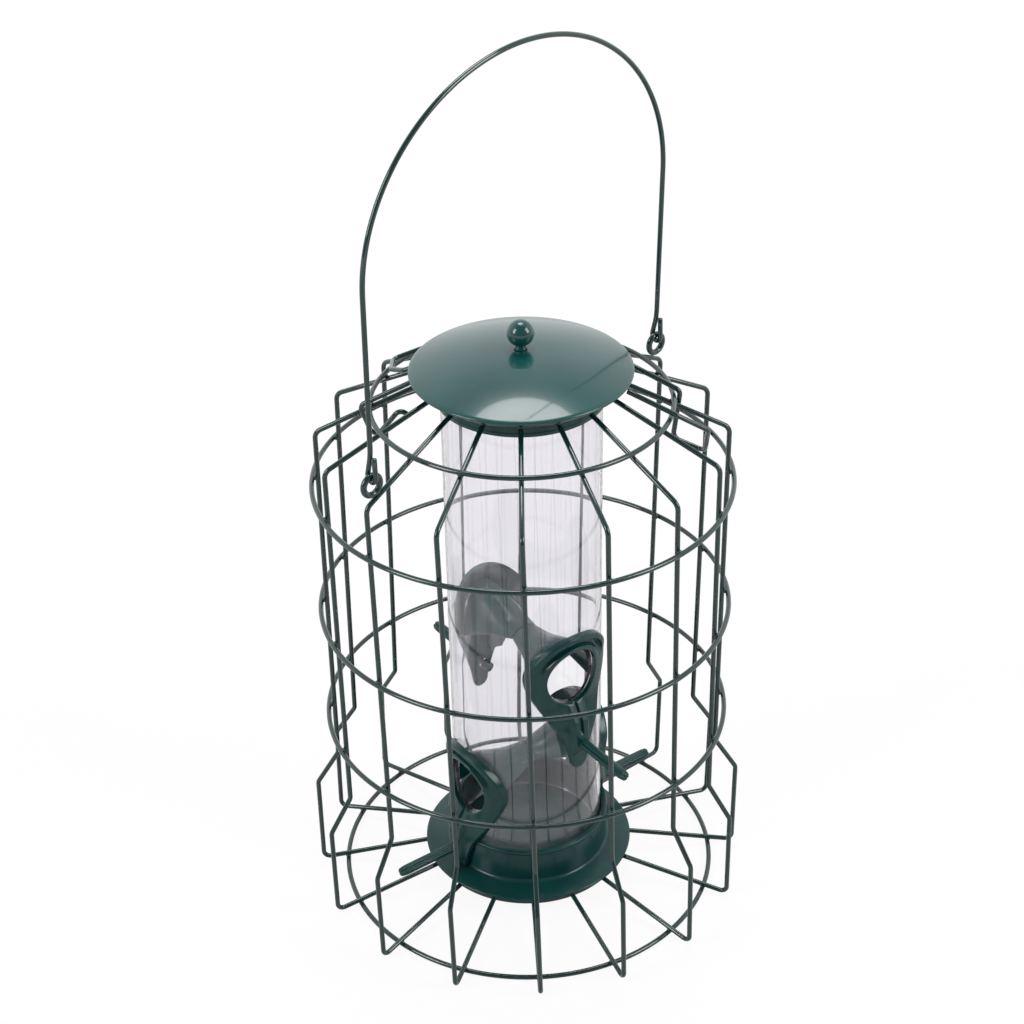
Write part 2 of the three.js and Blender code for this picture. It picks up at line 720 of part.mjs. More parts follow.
// A perch: a bar of cross-shaped section with a tapered tip
function perch(inner) {
  const shape = new THREE.Shape();
  const arm = perchArmWidth;
  const corners = [[perchHalfHeight, arm], [arm, arm], [arm, perchHalfHeight]];
  for (let quarter = 0; quarter < 4; quarter++) {
    const angle = radians(quarterTurn * quarter);
    corners.forEach(([x, y], i) => {
      const [u, v] = [x * cos(angle) - y * sin(angle), x * sin(angle) + y * cos(angle)];
      if (quarter === 0 && i === 0) shape.moveTo(u, v); else shape.lineTo(u, v);
    });
  }
  const length = perchOuter - inner;
  const bar = new THREE.ExtrudeGeometry(shape, { depth: length, bevelEnabled: false });
  bar.rotateY(radians(quarterTurn)).translate(inner, 0, 0);
  const tip = new THREE.CylinderGeometry(
    perchHalfHeight * perchTipShare, perchHalfHeight * 2, perchTipLength * 2, perchFacets)
    .rotateZ(-radians(quarterTurn)).translate(perchOuter - perchTipLength, 0, 0);
  const shaft = new THREE.BoxGeometry(length, perchHalfHeight * 4, perchHalfHeight * 4)
    .translate(perchOuter - perchTipLength * 2 - length / 2, 0, 0);
  return toGeometry(toSolid(bar).intersect(toSolid(tip).add(toSolid(shaft))));
}

// A baffle: an arched roof inside the tube that slopes down from over the hole towards the middle
function portBaffle() {
  const halfWidth = holeHalfWidth + baffleLap;
  const halfHeight = holeHalfHeight + baffleLap;
  const arch = new THREE.Shape();
  arch.absellipse(0, 0, halfWidth, halfHeight, 0, PI, false, 0);
  arch.lineTo(baffleWall - halfWidth, 0);
  arch.absellipse(0, 0, halfWidth - baffleWall, halfHeight - baffleWall, PI, 0, true, 0);
  arch.closePath();
  const bore = tubeBore - seatGap;
  const roof = new THREE.ExtrudeGeometry(arch, {
    depth: bore + cutOverrun, bevelEnabled: false, curveSegments: baffleSteps });
  roof.rotateX(radians(quarterTurn)).rotateZ(radians(quarterTurn));
  const slope = tan(radians(bafflePitch));
  roof.applyMatrix4(new THREE.Matrix4().makeShear(0, slope, 0, 0, 0, 0)).translate(0, 0, -slope * bore);
  const inside = cylinder(bore, -2 * flangeTailLength, flangeTailLength)
    .subtract(toSolid(new THREE.BoxGeometry(2 * baffleMeetingGap, 4 * bore, 4 * flangeTailLength)))
    .intersect(toSolid(
      new THREE.BoxGeometry(bore * 2, bore * 4, flangeTailLength * 4).translate(bore, 0, 0)));
  return toGeometry(toSolid(roof).intersect(inside));
}

function buildPorts() {
  const group = new THREE.Group();
  for (const port of ports) {
    const place = facing(port.azimuth);
    place.position.z = port.height;
    const isLower = port.height === lowerPortHeight;
    place.add(piece(`port_${port.name}`, portShroud(isLower), greenPlastic()));
    const root = isLower ? collarSeat : tubeBore - perchTuckLength;
    const bar = piece(`perch_${port.name}`, perch(root), greenPlastic());
    bar.position.z = -perchDropHeight;
    place.add(bar, piece(`baffle_${port.name}`, portBaffle(), greenPlastic()));
    group.add(place);
  }
  return group;
}

// The dish: a flat brim over the spokes, a collar round the tube's foot and a stepped floor
function baseDish() {
  const underRise = (dishBrimRadius - dishCollarRadius) * tan(radians(spokePitch));
  const inner = dishCollarRadius - dishCollarWall;
  const floorUnder = dishFloorTop - dishFloorWall;
  const outline = [
    [0, floorUnder + underRise],
    [dishCollarRadius, brimUnder + underRise],
    [dishBrimRadius, brimUnder],
    [dishBrimRadius, brimTop],
    [dishCollarRadius, brimTop + dishBrimRise],
    [dishCollarRadius, dishCollarTop - 2 * dishCollarLip],
    [dishCollarRadius + dishCollarLip / 2, dishCollarTop - dishCollarLip],
    [dishCollarRadius, dishCollarTop],
    [inner, dishCollarTop],
    [inner, dishFloorTop],
    [dishStepRadius, dishFloorTop],
    [dishStepRadius - dishStepHeight, dishFloorTop + dishStepHeight],
    [0, dishFloorTop + dishStepHeight],
  ];
  return piece('base_dish', turned(outline, dishFacets), greenPlastic());
}

const feeder = new THREE.Group();
feeder.add(buildCage(), buildBail(), buildLatches(), buildLid(), buildCollar(), buildPorts());
feeder.add(piece('seed_tube', seedTube(), clearPlastic()), baseDish());

export default feeder;
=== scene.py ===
# %% [markdown]
# A caged tube bird feeder. A clear plastic tube of seed stands in a green dish, under a domed
# steel lid, and a cage of sixteen bent and welded wires lets small birds through but keeps
# squirrels out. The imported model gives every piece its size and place, and this lesson dresses
# each one as it looks close up: round wire, rolled sheet steel, moulded plastic, clear tube.

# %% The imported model
import json
import math

import bpy
import numpy as np
from mathutils import Matrix, Vector


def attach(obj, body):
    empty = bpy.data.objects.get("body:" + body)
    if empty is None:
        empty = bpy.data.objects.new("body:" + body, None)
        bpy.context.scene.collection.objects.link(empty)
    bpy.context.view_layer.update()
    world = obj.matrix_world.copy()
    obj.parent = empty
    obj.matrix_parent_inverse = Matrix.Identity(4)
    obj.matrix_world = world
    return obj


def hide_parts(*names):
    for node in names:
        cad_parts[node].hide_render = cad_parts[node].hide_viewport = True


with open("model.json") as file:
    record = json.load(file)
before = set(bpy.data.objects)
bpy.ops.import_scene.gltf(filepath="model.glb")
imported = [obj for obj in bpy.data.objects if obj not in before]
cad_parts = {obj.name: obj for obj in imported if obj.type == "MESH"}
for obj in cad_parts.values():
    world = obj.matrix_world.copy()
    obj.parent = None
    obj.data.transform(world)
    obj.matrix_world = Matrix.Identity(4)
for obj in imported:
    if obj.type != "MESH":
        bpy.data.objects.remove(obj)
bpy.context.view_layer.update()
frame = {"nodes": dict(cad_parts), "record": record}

print("nodes in the packed model:", len(frame["nodes"]))

# %% [markdown]
# The camera comes first, because every surface is judged from where the photograph was taken.
# The feeder was seen from in front and well above it, through a long lens at about a metre.
# A camera needs three directions: where it looks, which way is up in the picture and which
# way is right. They are built from a turn, a downward pitch and a slight roll.

# %% Camera
scene = bpy.context.scene
turn, pitch, roll = -0.0063, math.radians(32.03), 0.019
sensor_width, focal_pixels, picture_pixels = 36.0, 2104.6, 1024
standing = (0.0, -0.7743, 0.6770)
level_right = np.array([math.cos(turn), -math.sin(turn), 0.0])
level_ahead = np.array([math.sin(turn), math.cos(turn), 0.0])
plumb = np.array([0.0, 0.0, 1.0])
looking = math.cos(pitch) * level_ahead - math.sin(pitch) * plumb
tipped_up = math.sin(pitch) * level_ahead + math.cos(pitch) * plumb
right = math.cos(roll) * level_right - math.sin(roll) * tipped_up
upward = math.sin(roll) * level_right + math.cos(roll) * tipped_up

lens = bpy.data.cameras.new("camera")
lens.sensor_width = sensor_width
lens.lens = sensor_width * focal_pixels / picture_pixels
lens.clip_start = 0.05
lens.clip_end = 50.0
camera = bpy.data.objects.new("camera", lens)
camera.matrix_world = Matrix(np.column_stack([right, upward, -looking]).tolist()).to_4x4()
camera.location = standing
scene.collection.objects.link(camera)
scene.camera = camera
print("camera: %.1f mm lens, %.1f degrees down" % (lens.lens, math.degrees(pitch)))

# %% [markdown]
# Every surface here is worked out in millimetres, the unit that the feeder's maker would use,
# and turned to Blender's metres in one place, where the mesh is made. Shapes that close on
# themselves need their faces to point outwards. The sum of the small pyramids between the
# origin and each face is the shape's volume, and a negative sum says that they point inwards.

# %% From arrays to a mesh
MM = 0.001


def unit(v):
    """Vectors along the last axis, each divided by its own length."""
    return v / np.linalg.norm(v, axis=-1, keepdims=True)


def volume(points, faces):
    """Signed volume of a closed shell: a sixth of the sum of a . (b x c) over its triangles."""
    total = 0.0
    for ring in faces:
        a = points[ring[:, 0]]
        for k in range(1, ring.shape[1] - 1):
            total += np.einsum("ij,ij->", a, np.cross(points[ring[:, k]], points[ring[:, k + 1]]))
    return total / 6


def make_piece(name, points, faces, material, sharp=50.0):
    """An object at the origin from points in millimetres and lists of face corners, outwards.
    Edges that turn by more than the sharp angle, in degrees, aren't smoothed."""
    if volume(points, faces) < 0:
        faces = [ring[:, ::-1] for ring in faces]
    mesh = bpy.data.meshes.new(name)
    mesh.from_pydata((points * MM).tolist(), [], [f for ring in faces for f in ring.tolist()])
    mesh.polygons.foreach_set("use_smooth", np.ones(len(mesh.polygons), bool))
    mesh.set_sharp_from_angle(angle=math.radians(sharp))
    mesh.materials.append(material)
    piece = bpy.data.objects.new(name, mesh)
    scene.collection.objects.link(piece)
    return piece


def dress(name, shell, node, body, slot, sharp=50.0):
    """A piece from a shell's points and faces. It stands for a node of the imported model, moves
    with a body and takes a slot's finish."""
    piece = make_piece(name, *shell, finishes[slot], sharp)
    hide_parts(node)
    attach(piece, body)


def joined(parts):
    """One set of points and faces from several, each part's corner numbers moved on."""
    points, faces, start = [], [], 0
    for some_points, some_faces in parts:
        points.append(some_points)
        faces += [ring + start for ring in some_faces]
        start += len(some_points)
    return np.concatenate(points), faces


# %% [markdown]
# Most of the feeder is made in three ways that a workshop would recognise: wire bent between
# straight runs, profiles spun round an axis, and moulded sheets wrapped round the tube. All
# three are rings of points joined each to the next. `skin` joins them, and either closes the
# last ring to the first or draws each end in to a point.

# %% Rings joined to a closed shell
def skin(rings, poles=None):
    """Points and faces of rings (m, n, 3): quads between each ring and the next one.
    With poles the ends are closed by fans to those two points, else the last meets the first."""
    m, n = rings.shape[:2]
    here = np.arange(m * n).reshape(m, n)
    beside = np.roll(here, -1, axis=1)
    if poles is None:
        ahead, ahead_beside = np.roll(here, -1, axis=0), np.roll(beside, -1, axis=0)
        quads = np.stack([here, beside, ahead_beside, ahead], -1).reshape(-1, 4)
        return rings.reshape(-1, 3), [quads]
    quads = np.stack([here[:-1], beside[:-1], beside[1:], here[1:]], -1).reshape(-1, 4)
    first = np.stack([beside[0], here[0], np.full(n, m * n)], -1)
    last = np.stack([here[-1], beside[-1], np.full(n, m * n + 1)], -1)
    return np.vstack([rings.reshape(-1, 3), np.asarray(poles, float)]), [quads, first, last]


def spun(points, azimuth):
    """Points whose x is outward, turned about the upright axis to an azimuth in degrees,
    which is 0 at the front (-Y) and 90 at the right (+X)."""
    a = np.radians(azimuth)
    x, y, z = points[..., 0], points[..., 1], points[..., 2]
    return np.stack([x * np.sin(a) + y * np.cos(a), y * np.sin(a) - x * np.cos(a), z], -1)


def placed(points, azimuth, height):
    """Points turned to an azimuth and lifted by a height."""
    return spun(points, azimuth) + np.array([0, 0, height])


def bent(corners, radii, steps=10):
    """Points along straight runs with rounded corners. Between unit directions a and b the arc's
    centre is off the corner along b - a by radius / cos(half the turn), and its points are
    centre + start * cos t + a * radius * sin t."""
    corners = np.asarray(corners, float)
    path = [corners[:1]]
    for i, radius in enumerate(radii):
        corner = corners[i + 1]
        a, b = unit(corner - corners[i]), unit(corners[i + 2] - corner)
        angle = math.acos(np.clip(a @ b, -1, 1))
        centre = corner + unit(b - a) * radius / math.cos(angle / 2)
        start = corner - a * radius * math.tan(angle / 2) - centre
        t = np.linspace(0, angle, steps + 1)[:, None]
        path.append(centre + start * np.cos(t) + a * radius * np.sin(t))
    path.append(corners[-1:])
    return np.concatenate(path)


def circle(steps):
    """Angles of this many even steps round a circle, in radians."""
    return np.linspace(0, 2 * np.pi, steps, endpoint=False)


def rounded(corners, radii, steps=4):
    """A closed outline of (x, y) corners with each corner rounded to its own radius."""
    ring = np.pad(np.asarray(corners, float), ((0, 0), (0, 1)))
    whole = np.vstack([(ring[-1:] + ring[:1]) / 2, ring, (ring[-1:] + ring[:1]) / 2])
    return bent(whole, radii, steps)[:-1, :2]


def lathe(profile, segments=192):
    """A closed profile of (radius, height) points turned round the upright axis."""
    profile = np.asarray(profile, float)
    a = circle(segments)
    r, z = profile[:, :1], profile[:, 1:]
    return np.stack([r * np.sin(a), -r * np.cos(a), z + 0 * a], -1)


# %% [markdown]
# Cut wire has a blunt end whose edge is softened by the coating, so a swept wire closes with
# a shallow dome. Along the wire the circle must not spin: at each station the side vector of
# the last one is laid flat on the plane across the new direction, which carries it along
# without twist. That is a loop over stations only, and each ring is worked out at once.

# %% A round wire along a path
wire_radius, wire_sides = 1.1, 18
end_dome, nearly_nothing = 0.35, 1e-6
weld_swell, weld_reach = 0.16, 0.7
off_axis = [0.3, 0.9, 0.31]


def wire_frames(path):
    """Direction, side and lift at each station of a path, carried along without twist."""
    along = unit(np.gradient(path, axis=0))
    side = np.empty_like(path)
    side[0] = unit(np.cross(along[0], off_axis))
    for i in range(1, len(path)):
        flat = side[i - 1] - along[i] * (along[i] @ side[i - 1])
        side[i] = flat / np.linalg.norm(flat)
    return along, side, np.cross(along, side)


def wire(path, radius=wire_radius, sides=wire_sides):
    """A wire: circles of the radius at each station, with end rings of radius * cos t pushed
    out by the dome's depth * sin t."""
    path = path[np.r_[True, np.linalg.norm(np.diff(path, axis=0), axis=1) > nearly_nothing]]
    depth = radius * end_dome
    ends = unit(path[[0, -1]] - path[[1, -2]]) * depth
    core = np.vstack([path[:1] - ends[:1], path[1:-1], path[-1:] - ends[1:]])
    along, side, lift = wire_frames(core)
    t = np.linspace(np.pi / 2, 0, 5)[1:-1, None]
    stations = np.vstack([core[0] + ends[0] * np.sin(t), core, core[-1] + ends[1] * np.sin(t[::-1])])
    size = np.concatenate([np.cos(t[:, 0]), np.ones(len(core)), np.cos(t[::-1, 0])]) * radius
    pick = np.r_[0, 0, 0, np.arange(len(core)), [len(core) - 1] * 3]
    a = circle(sides)[:, None]
    rings = stations[:, None] + size[:, None, None] * (
        side[pick][:, None] * np.cos(a) + lift[pick][:, None] * np.sin(a))
    return skin(rings, poles=[core[0] + ends[0], core[-1] + ends[1]])


def hoop(radius, height, weld_at=None, segments=288):
    """A closed ring of wire. Near its butt weld the wire's radius swells by a short bump,
    0.16 mm high and about a millimetre long."""
    a = np.linspace(0, 360, segments, endpoint=False)
    swell = np.zeros(segments)
    if weld_at is not None:
        away = (a - weld_at + 180) % 360 - 180
        swell = weld_swell * np.exp(-(np.radians(away) * radius / weld_reach) ** 2)
    t = circle(wire_sides)
    thick = (wire_radius + swell)[:, None]
    rings = np.stack([radius + thick * np.cos(t), 0 * thick * t, height + thick * np.sin(t)], -1)
    return skin(spun(rings, a[:, None]))


# %% [markdown]
# Materials. One small function writes a node with its settings and links, and a few that use
# it write what repeats: sums, ranges, noise and mixes. Colours are given as they read on a
# screen (sRGB) and turned to the linear values that light adds up in.

# %% Colour and node helpers
def linear(text):
    """Linear colour of an sRGB hex text: c / 12.92 below 0.04045, else
    ((c + 0.055) / 1.055) to the power 2.4."""
    c = np.array([int(text[i:i + 2], 16) / 255 for i in (1, 3, 5)])
    c = np.where(c <= 0.04045, c / 12.92, ((c + 0.055) / 1.055) ** 2.4)
    return (*c.tolist(), 1.0)


def add(tree, kind, inputs=None, **settings):
    """A node of this kind with its settings, and its inputs set to a value or linked to a socket."""
    made = tree.nodes.new(kind)
    for key, value in settings.items():
        setattr(made, key, value)
    for key, value in (inputs or {}).items():
        if isinstance(value, bpy.types.NodeSocket):
            tree.links.new(value, made.inputs[key])
        else:
            made.inputs[key].default_value = value
    return made


def maths(tree, operation, *terms, clamp=False):
    """The result of one operation on numbers and sockets."""
    settings = {"operation": operation, "use_clamp": clamp}
    return add(tree, "ShaderNodeMath", dict(enumerate(terms)), **settings).outputs[0]


def ranged(tree, value, start, stop, low, high, kind="LINEAR"):
    """A value's place between start and stop, moved to the same place between low and high."""
    inputs = {"Value": value, "From Min": start, "From Max": stop, "To Min": low, "To Max": high}
    return add(tree, "ShaderNodeMapRange", inputs, interpolation_type=kind).outputs["Result"]


def mixed(tree, share, first, second):
    """The first shader, with this share of it given over to the second."""
    return add(tree, "ShaderNodeMixShader", {0: share, 1: first, 2: second}).outputs[0]


def noisy(tree, vector, size_mm, detail, roughness=0.5):
    """Soft noise from 0 to 1 whose patches are about this many millimetres."""
    inputs = {"Vector": vector, "Scale": 1 / (size_mm * MM), "Detail": detail, "Roughness": roughness}
    return add(tree, "ShaderNodeTexNoise", inputs).outputs["Fac"]


def rippled(tree, height, strength, depth_mm, under=None):
    """Normals of a surface with waves of this height and depth, laid over other normals."""
    inputs = {"Height": height, "Strength": strength, "Distance": depth_mm * MM}
    if under is not None:
        inputs["Normal"] = under
    return add(tree, "ShaderNodeBump", inputs).outputs["Normal"]


def ramped(tree, value, start, first, stop, last):
    """A colour that goes from the first to the last as a value goes from start to stop."""
    ramp = add(tree, "ShaderNodeValToRGB", {"Fac": value})
    for element, place, colour in zip(ramp.color_ramp.elements, (start, stop), (first, last)):
        element.position, element.color = place, colour
    return ramp.outputs["Color"]


def new_material(name):
    """A material with an empty node tree and its output node."""
    material = bpy.data.materials.new(name)
    material.use_nodes = True
    material.node_tree.nodes.clear()
    return material, material.node_tree, material.node_tree.nodes.new("ShaderNodeOutputMaterial")


def mottled(tree, dark, light, size_mm, detail=3.0):
    """The place on the object, and two near colours mixed in patches of this size."""
    place = add(tree, "ShaderNodeTexCoord").outputs["Object"]
    noise = noisy(tree, place, size_mm, detail, roughness=0.55)
    return place, ramped(tree, noise, 0.3, linear(dark), 0.7, linear(light))


# %% [markdown]
# The cage is mild steel wire with a baked polyester coating, sprayed on as powder and melted
# to a thick glossy skin. Its colour is a dark blue-green. Close up the skin has a faint orange
# peel, waves about a millimetre across and a few hundredths deep, which break the long
# highlights a little. A clear coat over a slightly rougher base gives that double gloss.

# %% Polyester powder coat on steel wire
powder_coat, tree, out = new_material("polyester_powder_coat")
place, colour = mottled(tree, "#0a3130", "#113d3b", 6.0)
peel = rippled(tree, noisy(tree, place, 1.3, 1.5, roughness=0.4), 0.35, 0.05)
coat = add(tree, "ShaderNodeBsdfPrincipled", {"Base Color": colour, "Roughness": 0.16,
           "IOR": 1.5, "Coat Weight": 0.8, "Coat Roughness": 0.03, "Normal": peel})
tree.links.new(coat.outputs["BSDF"], out.inputs["Surface"])
print("material:", powder_coat.name)

# %% [markdown]
# The lid and its knob are enamelled: pressed steel, sprayed and baked to an even skin. The
# colour is a fuller blue-green, and a low roughness keeps the edges of the wide pale highlight
# on the dome clear. The surface still has shallow waves from pressing, a centimetre or two
# across, which bend the reflections of the knob and bail.

# %% Stoving enamel on pressed steel
enamel, tree, out = new_material("stoving_enamel")
place, colour = mottled(tree, "#0b4b49", "#105553", 22.0, detail=2.0)
pressed = rippled(tree, noisy(tree, place, 16, 0.0), 0.25, 0.25)
grain = rippled(tree, noisy(tree, place, 0.9, 1.0), 0.12, 0.02, under=pressed)
coat = add(tree, "ShaderNodeBsdfPrincipled", {"Base Color": colour, "Roughness": 0.22,
           "IOR": 1.5, "Coat Weight": 0.6, "Coat Roughness": 0.06, "Normal": grain})
tree.links.new(coat.outputs["BSDF"], out.inputs["Surface"])
print("material:", enamel.name)

# %% [markdown]
# The ports, perches, collar, plug, dish and baffles are injection moulded from blue-green
# polypropylene. A polished mould leaves a satin surface with a very fine grain, and the
# melt flow leaves faint cloudy changes of colour a centimetre or two across.

# %% Moulded polypropylene
moulded, tree, out = new_material("moulded_polypropylene")
place, colour = mottled(tree, "#0d3f3d", "#134a48", 14.0)
grain = rippled(tree, noisy(tree, place, 0.5, 2.0), 0.15, 0.02)
cast = add(tree, "ShaderNodeBsdfPrincipled", {"Base Color": colour, "Roughness": 0.22,
           "IOR": 1.49, "Normal": grain})
tree.links.new(cast.outputs["BSDF"], out.inputs["Surface"])
print("material:", moulded.name)

# %% [markdown]
# The tube is extruded acrylic: clear, colourless and glossy on both faces. Drawing it through
# the die leaves very faint lines along its length, about a millimetre apart. They are noise
# stretched along the tube, and show only where they bend a reflection. Dust and fine
# scratches lay a thin pale haze over it. The wall is a real 1.5 mm shell, so light is
# refracted at each face as in the real tube.

# %% Extruded clear acrylic
acrylic, tree, out = new_material("extruded_acrylic")
acrylic_index = 1.49
place = add(tree, "ShaderNodeTexCoord").outputs["Object"]
drawn = add(tree, "ShaderNodeMapping", {"Vector": place, "Scale": (1, 1, 0.01)}).outputs["Vector"]
clear = add(tree, "ShaderNodeBsdfPrincipled", {"Base Color": linear("#f8f7fa"), "Roughness": 0.0,
            "IOR": acrylic_index, "Transmission Weight": 1.0,
            "Normal": rippled(tree, noisy(tree, drawn, 1.1, 2.0), 0.06, 0.03)})
# The same noise sets the dust haze and fades the painted wire reflections in patches.
dust_and_reflection_patches = noisy(tree, place, 30, 3.0)
haze = ranged(tree, dust_and_reflection_patches, 0.3, 0.7, 0.02, 0.038)
veil = add(tree, "ShaderNodeBsdfDiffuse", {"Color": linear("#f4f2f8")})
dusty = mixed(tree, haze, clear.outputs["BSDF"], veil.outputs["BSDF"])
print("material:", acrylic.name)

# %% [markdown]
# Dark lines on the tube are painted reflections of the cage wires: 27 lines, about 0.3 mm wide,
# which turn slowly round the tube with height. They pass light but mirror none and hold no haze,
# so they look dark before the green and nearly vanish before the white. A line runs where the
# angle round the tube, turned a little with height and counted in 27ths of a circle, is a whole
# number.

# %% Painted reflections of the wires, as dark lines on the tube
wire_reflection_count, wire_reflection_turn, wire_reflection_start = 27, 0.61, 0.49
wire_reflection_core, wire_reflection_edge = 0.012, 0.023
parts = add(tree, "ShaderNodeSeparateXYZ", {0: place})
around = maths(tree, "ARCTAN2", parts.outputs["Y"], parts.outputs["X"])
turned = maths(tree, "MULTIPLY_ADD", parts.outputs["Z"], wire_reflection_turn, around)
counted = maths(tree, "MULTIPLY_ADD", turned, wire_reflection_count / (2 * math.pi), wire_reflection_start)
apart = maths(tree, "PINGPONG", counted, 0.5)
# Painted reflections of the cage wires: 1 on each dark line, 0 between the lines.
painted_wire_reflection = ranged(tree, apart, wire_reflection_core, wire_reflection_edge, 1.0, 0.0)
painted_reflection_fade = ranged(tree, dust_and_reflection_patches, 0.35, 0.55, 0.45, 1.0)
# A clear shader that mirrors nothing, so the painted wire reflections read dark.
painted_reflection_bsdf = add(tree, "ShaderNodeBsdfRefraction", {"Color": linear("#edecf0"), "Roughness": 0.0,
           "IOR": acrylic_index})
tube_with_painted_reflections = mixed(tree, maths(tree, "MULTIPLY", painted_wire_reflection, painted_reflection_fade), dusty, painted_reflection_bsdf.outputs["BSDF"])
tree.links.new(tube_with_painted_reflections, out.inputs["Surface"])
print("hair lines: one every %.1f degrees" % (360 / wire_reflection_count))

# %% [markdown]
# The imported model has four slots, and each takes one of these finishes.

# %% The finish of each slot
finishes = {"green_wire": powder_coat, "green_enamel": enamel, "green_plastic": moulded,
            "clear_tube": acrylic}
print("slots:", sorted(finishes))

# %% [markdown]
# The cage. Each of sixteen wires runs from the collar down a sloping shoulder, straight down
# the side, out at a flare, down to a foot and back in as a spoke under the dish. All are one
# shape, turned by steps of 22.5 degrees. The welding jig let the cage twist about three
# degrees from foot to shoulder, so each station is turned by an angle that falls with height.

# %% Cage wires
cage_radius, shoulder_height, shoulder_pitch = 87.9, 233.7, 26.0
flare_top, flare_radius, flare_bottom = 64.0, 98.2, 47.2
base_hoop_radius, spoke_pitch = 86.5, 9.3
dish_ring_radius, crown_ring_radius = 44.5, 40.9
wire_on_wire = 2.5
shoulder_slope = math.tan(math.radians(shoulder_pitch))
spoke_slope = math.tan(math.radians(spoke_pitch))
shoulder_stretch = 1 / math.cos(math.radians(shoulder_pitch))
spoke_stretch = 1 / math.cos(math.radians(spoke_pitch))


def shoulder_axis(radius):
    """Height of a wire's axis on the shoulder: it rises inwards at 26 degrees."""
    return shoulder_height + (cage_radius - radius) * shoulder_slope


def spoke_axis(radius):
    """Height of a wire's axis on a spoke: it rises inwards at 9.3 degrees off the base hoop."""
    return wire_radius + wire_on_wire * spoke_stretch + (base_hoop_radius - radius) * spoke_slope


def twist(height):
    """Degrees that the cage has turned at a height: 2.6 at the foot, three less at the shoulder."""
    return 2.6 - 3.0 * height / shoulder_height


crown_reach, foot_reach = 37.8, dish_ring_radius - wire_on_wire
upper_hoop_share = 0.521
upper_hoop_radius = crown_reach + (cage_radius - crown_reach) * upper_hoop_share
bend_radii = [4.5, 4.0, 4.0, 3.0]
corners = [(crown_reach, 0, shoulder_axis(crown_reach)), (cage_radius, 0, shoulder_height),
           (cage_radius, 0, flare_top), (flare_radius, 0, flare_bottom),
           (flare_radius, 0, spoke_axis(flare_radius)), (foot_reach, 0, spoke_axis(foot_reach))]
cage_path = bent(corners, bend_radii, steps=9)
for i in range(16):
    path = spun(cage_path, 22.5 * i + twist(cage_path[:, 2]))
    dress("coated_wire_%02d" % (i + 1), wire(path), "cage_wire_%02d" % (i + 1), "feeder", "green_wire")
print("cage wires: 16, each %.0f mm long" % np.linalg.norm(np.diff(cage_path, axis=0), axis=1).sum())

# %% [markdown]
# Seven rings tie the wires together: a crown under the lid, a hoop on the shoulder, three
# round the outside, the base hoop that the feeder stands on and a small ring round the dish.
# Each is a wire bent to a circle and butt welded, which leaves a small bump. On the three
# middle hoops the bumps sit to the left of the front, one above the other. The base hoop's
# is ground off, since the feeder stands on it.

# %% Hoops and rings
outside = cage_radius + wire_on_wire
upright = shoulder_height - flare_top
over_shoulder = wire_on_wire * shoulder_stretch
rings = {
    "crown_ring": (crown_ring_radius, shoulder_axis(crown_ring_radius) + over_shoulder, 200),
    "shoulder_hoop": (upper_hoop_radius, shoulder_axis(upper_hoop_radius) + over_shoulder, 150),
    "middle_hoop_3": (outside, flare_top + 0.8692 * upright, -18.5),
    "middle_hoop_2": (outside, flare_top + 0.5003 * upright, -18.9),
    "middle_hoop_1": (outside, flare_top + 0.1626 * upright, -16.0),
    "base_hoop": (base_hoop_radius, wire_radius, None),
    "dish_ring": (dish_ring_radius, spoke_axis(dish_ring_radius) - wire_on_wire * spoke_stretch, 120),
}
for name, (radius, height, weld_at) in rings.items():
    dress(name.replace("_", "_wire_", 1), hoop(radius, height, weld_at), name, "feeder", "green_wire")
print("rings:", {name: round(values[1], 2) for name, values in rings.items()})

# %% [markdown]
# Where wires cross they are spot welded: the current melts a flat nugget between them, and
# the coating later bridges the corner. Each is a small ball, flattened across the joint.
# One object holds them all, and each has only about a hundred faces because there are so many.

# %% Spot welds at the crossings
weld_off_axis = [0.21, 0.43, 0.88]


def nugget(centre, across, radius=1.25, half_thickness=0.75, rows=7, sides=12):
    """A ball of this radius squeezed along `across`: rings of radius * sin t at
    half_thickness * cos t."""
    across = unit(np.asarray(across, float))
    side = unit(np.cross(across, weld_off_axis))
    lift = np.cross(across, side)
    t = np.linspace(0, np.pi, rows + 2)[1:-1, None, None]
    a = circle(sides)[None, :, None]
    rings = centre + radius * np.sin(t) * (side * np.cos(a) + lift * np.sin(a)) \
        + half_thickness * np.cos(t) * across
    return skin(rings, poles=[centre + across * half_thickness, centre - across * half_thickness])


def crossings(radius, height, out_share, up_share):
    """One nugget at each of the sixteen wires, halfway from the ring's axis to the wire's,
    which lies in the direction (out_share, up_share) from it."""
    made = []
    for i in range(16):
        azimuth = 22.5 * i + twist(height)
        towards = spun(np.array([out_share, 0.0, up_share]), azimuth)
        centre = spun(np.array([radius, 0.0, height]), azimuth) + towards * wire_on_wire / 2
        made.append(nugget(centre, towards))
    return made


slant_out, slant_up = -math.sin(math.radians(shoulder_pitch)), -math.cos(math.radians(shoulder_pitch))
spoke_out, spoke_up = math.sin(math.radians(spoke_pitch)), math.cos(math.radians(spoke_pitch))
wire_lies = {"crown_ring": (slant_out, slant_up), "shoulder_hoop": (slant_out, slant_up),
             "middle_hoop_1": (-1.0, 0.0), "middle_hoop_2": (-1.0, 0.0), "middle_hoop_3": (-1.0, 0.0),
             "base_hoop": (spoke_out, spoke_up), "dish_ring": (spoke_out, spoke_up)}
welds = []
for name, shares in wire_lies.items():
    welds += crossings(*rings[name][:2], *shares)
beads = make_piece("spot_welds", *joined(welds), powder_coat)
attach(beads, "feeder")
print("spot welds:", len(welds))

